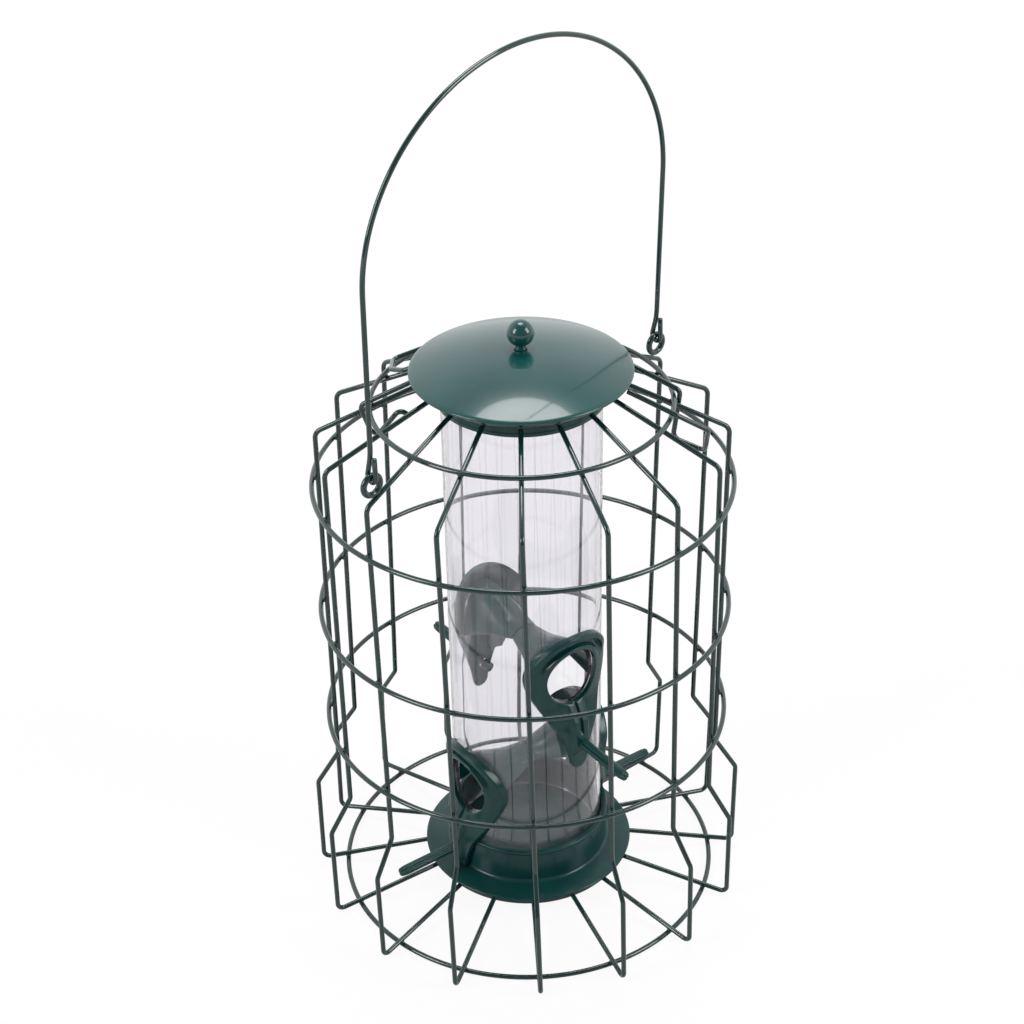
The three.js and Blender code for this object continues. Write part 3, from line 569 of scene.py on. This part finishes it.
# %% [markdown]
# The bail is one long wire. Its ends are bent to hooks that hang in two small ring eyes,
# welded upright on the shoulder, and swing in them. The arch is half an ellipse on upright
# arms, and it leans slightly to one side, as a hand-bent handle does. The hook's return leg
# stands beside the arm.

# %% Bail and its eyes
bail_azimuth = -45.5
eye_radius, eye_wire, eye_reach = 4.3, 1.35, 84.2
eye_height = shoulder_axis(eye_reach) + (wire_on_wire + eye_radius) * shoulder_stretch
hinge_height = eye_height + eye_radius
hook_radius, hook_length = 2.8, 9.0
arm_top, arch_rise, half_span, lean = hinge_height + 78.63, 77.0, 84.8, 0.02
arm_bend = 30.0


def bail_end(side):
    """Hook at one end: down the return leg, half a turn of 2.8 mm radius, up to the arm."""
    x, foot = side * eye_reach, hinge_height + hook_length
    low = hinge_height - hook_radius
    corners = [(x, wire_radius + wire_on_wire / 2, foot), (x, hook_radius, low),
               (x, -hook_radius, low), (x - lean * hook_length, 0, foot),
               (side * half_span - lean * (arm_top - hinge_height), 0, arm_top)]
    return bent(corners, [hook_radius, hook_radius, arm_bend], steps=14)


t = np.linspace(0, np.pi, 121)[1:-1]
height = arm_top + arch_rise * np.sin(t)
arch = np.stack([-half_span * np.cos(t) - lean * (height - hinge_height), 0 * t, height], -1)
bail_path = np.vstack([bail_end(-1), arch, bail_end(1)[::-1]])
dress("coated_bail", wire(spun(bail_path, bail_azimuth)), "bail", "bail", "green_wire")

a, t = circle(64), circle(wire_sides)
reach = eye_radius + eye_wire * np.cos(t)
eye_rings = np.stack([eye_reach + reach * np.cos(a)[:, None], eye_wire * np.sin(t) + 0 * a[:, None],
                      eye_height + reach * np.sin(a)[:, None]], -1)
for name, azimuth in (("bail_eye_left", bail_azimuth), ("bail_eye_right", bail_azimuth + 180)):
    dress("ring_" + name, skin(spun(eye_rings, azimuth)), name, "feeder", "green_wire")
print("hinge at %.2f mm, top of the arch at %.1f mm" % (hinge_height, height.max()))

# %% [markdown]
# Two sprung wire latches lie over the shoulder hoop and reach in under the lid's rim. One is
# a finger tab of two legs and a loop hanging outside the hoop. The other has a small hook
# round the hoop and a wide thumb loop. Both are bent wire, so they take the same sweep.

# %% Latches
wire_corner = wire_radius / math.cos(math.pi / 6)
latch_wrap, latch_bend = 2 * wire_corner + 0.3, 3.4
run_seat = (wire_on_wire + latch_wrap) * shoulder_stretch
hoop_seat = rings["shoulder_hoop"][1]


def on_run(x, y):
    """A corner that lies over the shoulder hoop, at the shoulder's own slope."""
    return (x, y, shoulder_axis(math.hypot(x, y)) + run_seat)


def below_hoop(x, y, drop):
    """A corner that hangs this far below the shoulder hoop's axis."""
    return (x, y, hoop_seat - drop)


def past_hoop(side, slack):
    """Reach of a leg's outer bend: just outside the hoop at this distance to the side."""
    return math.sqrt((upper_hoop_radius + latch_wrap + slack / 2) ** 2 - side ** 2)


back = past_hoop(2.6, 0.3)
tab_corners = [on_run(43.4, 8.8), on_run(back, 2.6), below_hoop(back - 2.6, 2.6, 21.0),
               below_hoop(77.4, -4.0, 24.0), below_hoop(77.4, -15.4, 7.4),
               on_run(past_hoop(18.8, 0), -18.8), on_run(43.4, -15.6)]
tab_path = bent(tab_corners, [latch_wrap, latch_bend, latch_bend, latch_bend, latch_wrap], steps=12)
dress("coated_latch_tab", wire(tab_path), "latch_tab", "tab_latch", "green_wire")

hook_corners = [below_hoop(46.6, -5.0, 4.4), below_hoop(51.0, -5.0, 1.0), below_hoop(62.3, -5.0, 15.0),
                on_run(past_hoop(5.0, 2.2), -5.0), on_run(43.4, -5.0), on_run(43.4, 7.6),
                on_run(49.6, 9.6), on_run(55.2, 17.4), on_run(55.2, 32.6), on_run(31.0, 32.6)]
mirrored_to_left = np.array([-1.0, 1.0, 1.0])
hook_path = bent(hook_corners, [latch_wrap] * 6 + [latch_bend] * 2, steps=12) * mirrored_to_left
dress("coated_latch_hook", wire(hook_path), "latch_hook", "hook_latch", "green_wire")
print("latch wires: %d and %d stations" % (len(tab_path), len(hook_path)))

# %% [markdown]
# The lid is a shallow dome pressed from sheet steel, and its edge is rolled to a bead so that
# it isn't sharp. A section through it is a curve out along the top, a small circle at the
# rim and a curve back underneath, and turning that section round the axis makes the lid.

# %% Lid dome
tube_top = shoulder_axis(crown_reach) + 3.9
lid_radius, lid_rise, lid_wall, rim_bead = 47.2, 9.0, 1.1, 0.72
rim_height, axis_gap = tube_top + 1.4, 0.4


def dome(radius):
    """Height of the dome: it falls with the square of the radius, by 9 mm at the rim."""
    return rim_height + lid_rise * (1 - (radius / lid_radius) ** 2)


top = np.linspace(axis_gap, lid_radius - rim_bead - 0.15, 56)
under = np.linspace(lid_radius - 2 * rim_bead - 0.5, axis_gap, 40)
t = np.radians(np.linspace(70, -205, 22))
bead_height = rim_height - rim_bead + 0.08
bead = np.stack([lid_radius - rim_bead + rim_bead * np.cos(t), bead_height + rim_bead * np.sin(t)], -1)
profile = np.vstack([np.stack([top, dome(top)], -1), bead,
                     np.stack([under, dome(under) - lid_wall], -1)])
lid_shell = skin(lathe(profile, 224), poles=[(0, 0, dome(0)), (0, 0, dome(0) - lid_wall)])
dress("pressed_lid", lid_shell, "lid_dome", "lid", "green_enamel", sharp=65)
print("dome: %.1f mm high at the middle, %.1f mm at the rim" % (dome(0), dome(lid_radius)))

# %% [markdown]
# The knob is a turned ball on a short neck with a flat foot, enamelled like the lid. Its
# profile runs from the foot's under side out and up to the top of the ball.

# %% Knob
knob_base = dome(0) + 0.3
knob_radius, neck_radius, foot_radius = 5.8, 2.3, 2.9
foot_height, neck_height = 0.4, 1.15
neck_top = knob_base + foot_height + neck_height
start = math.asin(neck_radius / knob_radius)
ball_height = neck_top + knob_radius * math.cos(start)
t = np.linspace(np.pi - start, 0.06, 40)
foot = bent([(axis_gap, 0, knob_base), (foot_radius, 0, knob_base),
             (foot_radius, 0, knob_base + foot_height), (neck_radius + 0.05, 0, knob_base + 0.5),
             (neck_radius, 0, neck_top - 0.1)], [0.15, 0.18, 0.2], steps=6)[:, [0, 2]]
ball = np.stack([knob_radius * np.sin(t), ball_height + knob_radius * np.cos(t)], -1)
profile = np.vstack([foot, ball])
knob_shell = skin(lathe(profile, 96), poles=[(0, 0, knob_base), (0, 0, ball_height + knob_radius)])
dress("turned_knob", knob_shell, "lid_knob", "lid", "green_enamel", sharp=65)
print("knob: top at %.1f mm" % (ball_height + knob_radius))

# %% [markdown]
# Two moulded rings finish the tube's top: a plug under the dome that centres the lid in the
# tube, and a collar round the outside with a small bead near its lower edge. Both have
# corners rounded to a few tenths of a millimetre, as a mould leaves them.

# %% Lid plug and tube collar
tube_radius, tube_wall = 34.3, 1.5
plug_bore, plug_radius = 30.4, 32.0
plug_top, plug_low = dome(plug_radius) - lid_wall - 0.3, tube_top - 12
plug_ring = rounded([(plug_bore, plug_low), (plug_radius, plug_low), (plug_radius, plug_top),
                     (plug_bore, plug_top)], [0.4] * 4)
dress("moulded_lid_plug", skin(lathe(plug_ring, 160)), "lid_plug", "lid", "green_plastic")

collar_bore, collar_radius, collar_bead = 34.6, 36.4, 36.65
low = tube_top - 11.4
collar_ring = rounded([(collar_bore, low), (collar_radius, low), (collar_radius, low + 0.9),
                       (collar_bead, low + 1.6), (collar_radius, low + 2.3),
                       (collar_radius, tube_top), (collar_bore, tube_top)],
                      [0.3, 0.4, 0.3, 0.3, 0.3, 0.5, 0.3])
dress("moulded_tube_collar", skin(lathe(collar_ring, 160)), "tube_collar", "feeder", "green_plastic")
print("plug and collar: %d and %d points in their sections" % (len(plug_ring), len(collar_ring)))

# %% [markdown]
# The dish: a flat brim, a tall glossy collar that holds the tube's foot, with its edge rolled
# outwards, and a floor with a low round step. The whole section closes on the axis.

# %% Dish
brim_radius, dish_collar_radius, dish_bore = 48.6, 37.2, 35.0
brim_under = spoke_axis(brim_radius) + (wire_radius + 0.3) * spoke_stretch
brim_top, floor_top = brim_under + 1.4, brim_under + 3.4
dish_collar_top = floor_top + 16.3
under_rise = (brim_radius - dish_collar_radius) * spoke_slope
floor_under = floor_top - 2.6 + under_rise
step_radius, step_height = 26.0, 1.2
section = [(axis_gap, floor_under), (dish_collar_radius, brim_under + under_rise),
           (brim_radius, brim_under), (brim_radius, brim_top),
           (dish_collar_radius, brim_top + 1.0), (dish_collar_radius, dish_collar_top - 1.7),
           (dish_collar_radius + 0.45, dish_collar_top - 0.9),
           (dish_collar_radius + 0.2, dish_collar_top),
           (dish_bore, dish_collar_top), (dish_bore, floor_top), (step_radius, floor_top),
           (step_radius - step_height, floor_top + step_height), (axis_gap, floor_top + step_height)]
profile = bent([(r, 0, z) for r, z in section],
               [2.0, 0.5, 0.6, 1.6, 0.5, 0.35, 0.4, 0.45, 0.6, 0.5, 0.5], steps=7)[:, [0, 2]]
dish_shell = skin(lathe(profile), poles=[(0, 0, floor_under), (0, 0, floor_top + step_height)])
dress("moulded_dish", dish_shell, "base_dish", "feeder", "green_plastic", sharp=65)
print("dish: brim at %.2f to %.2f mm" % (brim_under, brim_top))

# %% [markdown]
# The tube is one long cylinder pierced by four feeding holes and, under the upper two, by the
# perches. A cut with a boolean would leave ragged edges in a clear material, where every
# facet shows. Here the wall is a grid of angle and height. Each hole takes a block out of the
# grid, and rings of points pass smoothly from the block's border to the hole's round edge.

# %% Clear tube with its holes
tube_bottom, lower_port = floor_top + 0.3, floor_top + 43.0
upper_port = lower_port + 67.3
ports = {"upper_front": (36.0, upper_port), "upper_back": (-144.0, upper_port),
         "lower_front": (-54.0, lower_port), "lower_back": (126.0, lower_port)}
hole_half_width, hole_half_height = 13.1, 13.5
perch_drop, perch_half_height, perch_hole = 32.6, 2.4, 2.9
columns, row_pitch, hole_rings = 240, 1.9, 6


def pierced_sheet(holes):
    """Angle and height of each point, the faces, and each hole's edge, on a grid that wraps.
    A hole is (azimuth, height, half width, half height), its border a block of the grid and its
    rings between them are border * (1 - s) + edge * s."""
    rows = round((tube_top - tube_bottom) / row_pitch)
    z = np.linspace(tube_bottom, tube_top, rows + 1)
    step = 360 / columns
    index = np.arange((rows + 1) * columns).reshape(rows + 1, columns)
    points = [np.stack(np.meshgrid(np.arange(columns) * step, z), -1).reshape(-1, 2)]
    keep = np.ones((rows, columns), bool)
    faces, edges, start = [], [], (rows + 1) * columns
    for azimuth, height, half_width, half_height in holes:
        half_angle = math.degrees(math.asin(half_width / tube_radius))
        c = np.arange(math.floor((azimuth - half_angle) / step) - 2,
                      math.ceil((azimuth + half_angle) / step) + 3)
        low = np.searchsorted(z, height - half_height) - 3
        high = np.searchsorted(z, height + half_height) + 2
        r = np.arange(low, high + 1)
        keep[np.ix_(r[:-1], c[:-1] % columns)] = False
        across, up = np.ones(len(c) - 1, int), np.ones(len(r) - 1, int)
        border_c = np.concatenate([c[:-1], up * c[-1], c[:0:-1], up * c[0]])
        border_r = np.concatenate([across * r[0], r[:-1], across * r[-1], r[:0:-1]])
        border = np.stack([border_c * step, z[border_r]], -1)
        way = np.arctan2((border[:, 1] - height) / half_height, (border[:, 0] - azimuth) / half_angle)
        edge = np.stack([azimuth + half_angle * np.cos(way), height + half_height * np.sin(way)], -1)
        s = np.linspace(0, 1, hole_rings + 1)[1:, None, None]
        points.append((border * (1 - s) + edge * s).reshape(-1, 2))
        n = len(border)
        chain = np.vstack([index[border_r, border_c % columns],
                           start + np.arange(hole_rings * n).reshape(hole_rings, n)])
        beside = np.roll(chain, -1, axis=1)
        faces.append(np.stack([chain[:-1], beside[:-1], beside[1:], chain[1:]], -1).reshape(-1, 4))
        edges.append(chain[-1])
        start += hole_rings * n
    beside = np.roll(index, -1, axis=1)
    cells = np.stack([index[:-1], beside[:-1], beside[1:], index[1:]], -1)[keep]
    return np.concatenate(points), np.concatenate([cells, *faces]), edges, index


holes = [(azimuth, height, hole_half_width, hole_half_height) for azimuth, height in ports.values()]
holes += [(azimuth, height - perch_drop, perch_hole, perch_hole)
          for azimuth, height in ports.values() if height == upper_port]
plan, sheet_faces, edges, grid_index = pierced_sheet(holes)
used, compact = np.unique(sheet_faces, return_inverse=True)
renumber = np.full(len(plan), -1)
renumber[used] = np.arange(len(used))
plan, sheet_faces, count = plan[used], compact.reshape(sheet_faces.shape), len(used)
a = np.radians(plan[:, 0])
sheets = [np.stack([r * np.sin(a), -r * np.cos(a), plan[:, 1]], -1)
          for r in (tube_radius, tube_radius - tube_wall)]
walls = []
for edge in edges:
    edge = renumber[edge]
    beside = np.roll(edge, -1)
    walls.append(np.stack([edge, beside, beside + count, edge + count], -1))
low, high = renumber[grid_index[0]], renumber[grid_index[-1]]
walls.append(np.stack([np.roll(low, -1), low, low + count, np.roll(low, -1) + count], -1))
walls.append(np.stack([high, np.roll(high, -1), np.roll(high, -1) + count, high + count], -1))
tube_faces = [sheet_faces, sheet_faces[:, ::-1] + count, np.concatenate(walls)]
dress("clear_seed_tube", (np.vstack(sheets), tube_faces), "seed_tube", "feeder", "clear_tube", sharp=35)
print("tube: %d faces in each face of the wall, %d holes" % (len(sheet_faces), len(edges)))

# %% [markdown]
# The feeding ports are the feeder's most worked pieces. Each is a moulded teardrop wrapped
# round the tube: a ring round the hole that runs down to a narrow tail. Over the hole a lip, a
# rain groove and a raised brow arch one above the other, and a grooved rib under the hole
# carries the perch. Modelled freely this would be hard to keep true to the tube. As a sheet
# it is simple: one parameter goes round the hole, and the other goes across, from its edge to
# the teardrop's edge and back underneath. The relief is a height over that sheet.

# %% Outline of a port
flange_top, flange_half_width, flange_tail, tail_radius = 21.4, 21.6, 47.8, 4.2
widest = 0.14 * flange_top
port_columns = 420


def curve(p0, p1, p2, p3, steps):
    """Cubic curve: p0 (1-t)^3 + 3 p1 t (1-t)^2 + 3 p2 t^2 (1-t) + p3 t^3."""
    t = np.linspace(0, 1, steps, endpoint=False)[:, None]
    p0, p1, p2, p3 = map(np.array, (p0, p1, p2, p3))
    return p0 * (1 - t) ** 3 + 3 * p1 * t * (1 - t) ** 2 + 3 * p2 * t ** 2 * (1 - t) + p3 * t ** 3


def flange_outline():
    """Teardrop: half an ellipse over the hole, two drawn-in sides and a round tail,
    counterclockwise from the right."""
    tail = tail_radius - flange_tail
    t = np.linspace(0, np.pi, 200, endpoint=False)
    crown = np.stack([flange_half_width * np.cos(t), widest + (flange_top - widest) * np.sin(t)], -1)
    left = curve((-flange_half_width, widest), (-flange_half_width, widest - hole_half_height),
                 (-2 * tail_radius, tail / 2), (-tail_radius, tail), 200)
    t = np.linspace(np.pi, 2 * np.pi, 60, endpoint=False)
    tip = np.stack([tail_radius * np.cos(t), tail + tail_radius * np.sin(t)], -1)
    return np.vstack([crown, left, tip, left[::-1] * np.array([-1, 1])])


dense = flange_outline()
dense = np.vstack([dense, dense[:1]])
run = np.concatenate([[0], np.cumsum(np.linalg.norm(np.diff(dense, axis=0), axis=1))])
share = np.arange(port_columns) / port_columns
outline = np.stack([np.interp(share * run[-1], run, dense[:, k]) for k in (0, 1)], -1)
facing = np.unwrap(np.arctan2(outline[:, 1], outline[:, 0]))
hole_way = 0.45 * facing + 0.55 * (facing[0] + 2 * np.pi * share)
print("port outline: %.0f mm round" % run[-1])

# %% [markdown]
# The relief. The face lies 2.5 mm off the tube and follows its curve. Over the hole it swells to
# a lip, sinks to a groove that leads rain to the sides, and swells again to the brow, all three
# fading out where the flange is widest. Lower down it eases out to the tail, which clears the
# dish's collar. Smooth steps, curves from 0 to 1 with no corner, round the edges as a mould does.

# %% Relief of a port
port_inner, port_face, tail_inner, tail_step = 34.6, 36.8, 38.3, 3.5
tail_start, tail_end, mould_edge = -12.0, -27.0, 0.7
hood_wall, hood_reach, brow_wall, brow_reach, brow_groove = 2.4, 0.8, 2.2, 1.0, 1.5
lip_start, lip_full, lip_end, lip_foot, brow_end = -0.15, -0.02, 0.05, 0.25, 0.04
brow_pull, groove_in, groove_out = 1.2, 0.3, 0.72
rib_half_width, rib_reach, groove_half, groove_depth = 3.4, 6.0, 1.1, 1.4
rib_heights, rib_shares = [-43.4, -37.4, -32.6, -22.0, -13.5], np.array([0, 1, 1, 0.82, 0])
rib_foot, rib_head, rib_flank, drain_low, drain_high = -43.8, -13.0, 2.0, -28.6, -9.0


def smooth(start, stop, x):
    """0 at start and before, 1 at stop and beyond, and t * t * (3 - 2 t) between them."""
    t = np.clip((x - start) / (stop - start), 0, 1)
    return t * t * (3 - 2 * t)


def port_front(y, z):
    """Reach of the port's front from the tube's axis at y sideways and z above the hole's
    centre: the face's radius with lip, groove and brow, then the rib and its groove."""
    to_lip = np.hypot(y / (hole_half_width + hood_wall), z / (hole_half_height + hood_wall)) - 1
    to_brow = 1 - np.hypot(y / (flange_half_width - brow_wall),
                           (z - widest) / (flange_top - widest - brow_wall))
    past_lip = np.clip(to_lip, 0, 1)
    across = past_lip / (past_lip + brow_pull * np.clip(to_brow, 0, 1) + nearly_nothing)
    lip = lip_foot + (1 - lip_foot) * smooth(lip_start, lip_full, to_lip)
    lip = smooth(lip_end, 0.0, to_lip) * lip
    channel = smooth(0, groove_in, across) * smooth(1.0, groove_out, across)
    brow = smooth(brow_end, 0.0, to_brow)
    lift = hood_reach * lip + brow_reach * brow - brow_groove * channel
    radius = port_face + smooth(widest - 1, flange_top / 2, z) * lift
    radius = radius + tail_step * smooth(tail_start, tail_end, z)
    reach = np.sqrt(radius ** 2 - y ** 2)
    rise = np.interp(z, rib_heights, rib_reach * rib_shares)
    rib = smooth(rib_half_width + rib_flank, rib_half_width - 0.2, np.abs(y))
    rib = rib * smooth(rib_foot, rib_foot + 1, z) * smooth(rib_head, rib_head - 1, z)
    reach = reach + rib * np.maximum(port_face + rise - reach, 0)
    groove = smooth(groove_half, 0.35 * groove_half, np.abs(y))
    groove = groove * smooth(drain_low, drain_low + 1.2, z) * smooth(drain_high, drain_high - 3, z)
    return reach - groove_depth * groove


def port_shell(lower):
    """The port as a closed sheet. Across it: the front, with both edges rounded off by
    edge * (1 - sqrt(1 - (1 - d / edge)^2)) at a distance d, the rim's wall, the back, which
    takes every second row, and the hole's wall. A lower port's rim stops above the brim."""
    hole = np.stack([hole_half_width * np.cos(hole_way), hole_half_height * np.sin(hole_way)], -1)
    limit = brim_top + 1.0 + 0.3 - lower_port
    rim = np.stack([outline[:, 0], np.maximum(outline[:, 1], limit) if lower else outline[:, 1]], -1)
    width = np.linalg.norm(rim - hole, axis=-1)
    t = np.linspace(0, 1, 73)
    s = (0.5 - 0.5 * np.cos(np.pi * t)) * 0.45 + t * 0.55
    y, z = np.moveaxis(hole + s[:, None, None] * (rim - hole), -1, 0)
    d = np.minimum(s[:, None], 1 - s[:, None]) * width
    front = port_front(y, z) - mould_edge * (1 - np.sqrt(1 - np.clip(1 - d / mould_edge, 0, 1) ** 2))
    inner = port_inner + (tail_inner - port_inner) * smooth(-26.1, -26.6, z)
    rear = np.sqrt(inner ** 2 - y ** 2)
    level = np.linspace(0, 1, 6)[1:-1, None]

    def wall(k, start, stop):
        """Rows of points between two reaches along the hole's edge (k = 0) or the rim (k = -1)."""
        return np.stack([start + (stop - start) * level, y[k] + 0 * level, z[k] + 0 * level], -1)

    return np.concatenate([np.stack([front, y, z], -1), wall(-1, front[-1], rear[-1]),
                           np.stack([rear, y, z], -1)[::-1][::2], wall(0, rear[0], front[0])])


for name, (azimuth, height) in ports.items():
    shell = skin(placed(port_shell(height == lower_port), azimuth, height))
    dress("moulded_port_" + name, shell, "port_" + name, "feeder", "green_plastic", sharp=60)
print("ports: %d faces each" % len(shell[1][0]))

# %% [markdown]
# A perch is a rod of cross-shaped section, which is stiff for little plastic and gives a
# bird's feet an edge to hold. Its section is a rounded cross. Towards the tip it narrows,
# and the end is rounded off.

# %% Perches
perch_arm, perch_outer, tip_length = 1.15, 73.0, 4.0
upper_perch_inner, chamfer_start, chamfer_end, chamfer_size = 28.6, 0.3, 0.9, 0.8
quarter = [(perch_half_height, perch_arm), (perch_arm, perch_arm), (perch_arm, perch_half_height)]
cross = []
for k in range(4):
    c, s = round(math.cos(k * math.pi / 2)), round(math.sin(k * math.pi / 2))
    cross += [(x * c - y * s, x * s + y * c) for x, y in quarter]
cross = rounded(cross, [0.45, 0.4, 0.45] * 4, steps=5)
t = np.linspace(0, 1, 12)[1:-1]
narrowing = (1 - 0.36 * t ** 1.5) * np.sqrt(np.clip(1 - (t * 0.93) ** 8, 0, 1))
size = np.concatenate([[chamfer_size], np.ones(12), narrowing])[:, None]
for name, (azimuth, height) in ports.items():
    inner = tail_inner if height == lower_port else upper_perch_inner
    run = np.linspace(inner + chamfer_end, perch_outer - tip_length, 12)
    tip = perch_outer - tip_length + tip_length * np.sin(t * np.pi / 2)
    x = np.concatenate([[inner + chamfer_start], run, tip])[:, None]
    rod = np.stack([x + 0 * cross[:, 0], size * cross[:, 0], size * cross[:, 1] - perch_drop], -1)
    ends = np.array([(inner, 0, -perch_drop), (perch_outer, 0, -perch_drop)])
    shell = skin(placed(rod, azimuth, height), poles=placed(ends, azimuth, height))
    dress("moulded_perch_" + name, shell, "perch_" + name, "feeder", "green_plastic")
print("perches: %d points in the section" % len(cross))

# %% [markdown]
# Inside the tube a small arched roof stands behind each hole, so that seed doesn't pour out.
# At the hole it is a tall arch, and it falls and narrows to a low mouth in the tube's middle,
# where it nearly meets the roof of the hole opposite. It is a bent sheet: one parameter
# follows the arch from side to side, the other goes out along the roof and back underneath.

# %% Baffles
baffle_wall, bore, meeting_gap = 1.5, tube_radius - tube_wall - 0.3, 0.4
mouth_half_width, mouth_base, mouth_ridge = 7.0, 3.2, 7.8
arch_half_width, arch_base, arch_ridge = hole_half_width + 1.3, -8.0, hole_half_height + 2.1
arch_way = np.linspace(0, np.pi, 60)[:, None]
along = np.linspace(0, 1, 20)
length = np.concatenate([along, along[::-1]])[None]
wall = np.concatenate([np.zeros(20), np.full(20, baffle_wall)])[None]
half_width = mouth_half_width + (arch_half_width - mouth_half_width) * length
base = mouth_base + (arch_base - mouth_base) * length ** 1.5
ridge = mouth_ridge + (arch_ridge - mouth_ridge) * smooth(0.1, 1.0, length)
y = (half_width - wall) * np.cos(arch_way)
z = base + (ridge - base - wall) * np.sin(arch_way)
x = meeting_gap + length * (np.sqrt(bore ** 2 - y ** 2) - meeting_gap)
baffle_rings = np.stack([x, y, z], -1)
for name, (azimuth, height) in ports.items():
    sheet = placed(baffle_rings, azimuth, height)
    shell = skin(sheet, poles=[sheet[0].mean(0), sheet[-1].mean(0)])
    dress("moulded_baffle_" + name, shell, "baffle_" + name, "feeder", "green_plastic")
print("baffles: 4")

# %% [markdown]
# Any solid that isn't dressed above keeps its own mesh and takes the finish of its slot, so
# that nothing is left bare.

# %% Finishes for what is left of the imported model
for part in frame["record"]["subparts"]:
    node = frame["nodes"][part["node"]]
    node.data.materials.clear()
    node.data.materials.append(finishes[part["material_slot"]])
print("nodes still shown:", sorted(n for n, o in frame["nodes"].items() if not o.hide_render))

# %% [markdown]
# The studio. The photograph was taken on a white sweep under broad soft lamps, so highlights
# are wide and shadows nearly vanish. The floor is a pale matt sheet. To the camera and through
# clear plastic most of its brightness is a constant white, and the rest is real light, which
# keeps a soft trace of the feeder's shadow. Further out the constant takes over, so that no
# horizon shows. In reflections the near floor is dimmer, which leaves the wires' edges dark.

# %% White floor
sweep, tree, out = new_material("white_paper_sweep")
near_metres, far_metres = 0.5, 2.5
path_of = add(tree, "ShaderNodeLightPath").outputs
place = add(tree, "ShaderNodeTexCoord").outputs["Object"]
away = add(tree, "ShaderNodeVectorMath", {0: place}, operation="LENGTH").outputs["Value"]
fade = ranged(tree, away, near_metres, far_metres, 0.0, 1.0, "SMOOTHSTEP")
plain = maths(tree, "MULTIPLY_ADD", fade, 0.18, 0.82)
mirrored = maths(tree, "MULTIPLY_ADD", fade, 0.65, 0.25)
seen = maths(tree, "ADD", path_of["Is Camera Ray"],
             maths(tree, "MULTIPLY", path_of["Is Glossy Ray"], mirrored))
seen = maths(tree, "ADD", seen, path_of["Is Transmission Ray"], clamp=True)
paper = add(tree, "ShaderNodeBsdfDiffuse", {"Color": linear("#c4c4c4"), "Roughness": 0.4})
glow = add(tree, "ShaderNodeEmission", {"Color": (1, 1, 1, 1), "Strength": 1.12})
lit = mixed(tree, maths(tree, "MULTIPLY", seen, plain), paper.outputs[0], glow.outputs[0])
tree.links.new(lit, out.inputs["Surface"])
half, depth = 6.0, -0.0003
mesh = bpy.data.meshes.new("floor")
mesh.from_pydata([(-half, -half, depth), (half, -half, depth), (half, half, depth),
                  (-half, half, depth)], [], [(0, 1, 2, 3)])
mesh.materials.append(sweep)
floor = bpy.data.objects.new("floor", mesh)
scene.collection.objects.link(floor)
print("floor: %.0f m across" % (2 * half))

# %% [markdown]
# The world is the room: bright behind the feeder, where the white sweep stands, greyer overhead
# and dim behind the camera. That change from bright to dim draws the soft shading on the dome
# and leaves the knob's face dark. The camera sees plain white in every direction, and so do
# rays through the clear tube.

# %% World
world = bpy.data.worlds.new("studio")
scene.world = world
world.use_nodes = True
tree = world.node_tree
tree.nodes.clear()
out = add(tree, "ShaderNodeOutputWorld")
place = add(tree, "ShaderNodeTexCoord").outputs["Generated"]
parts = add(tree, "ShaderNodeSeparateXYZ", {0: place})
overhead = ramped(tree, parts.outputs["Z"], 0.6, (1, 1, 1, 1), 0.95, (0.4, 0.4, 0.41, 1))
behind = ranged(tree, parts.outputs["Y"], -0.5, 0.3, 0.22, 1.0, "SMOOTHSTEP")
tint = add(tree, "ShaderNodeVectorMath", {0: overhead, "Scale": behind}, operation="SCALE")
path_of = add(tree, "ShaderNodeLightPath").outputs
level = maths(tree, "MULTIPLY_ADD", path_of["Is Glossy Ray"], 0.42, 0.55)
room = add(tree, "ShaderNodeBackground", {"Color": tint.outputs["Vector"], "Strength": level})
backdrop = add(tree, "ShaderNodeBackground", {"Color": (1, 1, 1, 1), "Strength": 1.0})
seen = maths(tree, "ADD", path_of["Is Camera Ray"], path_of["Is Transmission Ray"], clamp=True)
tree.links.new(mixed(tree, seen, room.outputs[0], backdrop.outputs[0]), out.inputs["Surface"])
print("world:", world.name)

# %% [markdown]
# Three soft boxes: a broad one overhead and slightly behind, whose mirror image is the pale
# patch on the front of the dome, and one on each side, nearer to the camera, which draw the
# two small highlights on the knob and the bright lines along the wires.

# %% Soft boxes
def soft_box(name, shape, place, target, width, height, watts):
    """A flat lamp at a place in metres, turned so that its -Z axis meets the target."""
    data = bpy.data.lights.new(name, "AREA")
    data.shape, data.size, data.size_y, data.energy = shape, width, height, watts
    lamp = bpy.data.objects.new(name, data)
    lamp.location = place
    lamp.rotation_euler = (Vector(target) - Vector(place)).to_track_quat("-Z", "Y").to_euler()
    scene.collection.objects.link(lamp)
    print("%s: %.0f W" % (name, watts))


middle = (0.0, 0.0, 0.2)
soft_box("overhead_box", "ELLIPSE", (0.03, 0.545, 2.035), middle, 1.1, 0.82, 14.8)
soft_box("left_box", "RECTANGLE", (-1.6, -0.9, 1.2), middle, 0.7, 1.2, 18.0)
soft_box("right_box", "RECTANGLE", (1.6, -0.6, 1.2), middle, 0.7, 1.2, 16.0)

scene.view_settings.view_transform = "Standard"
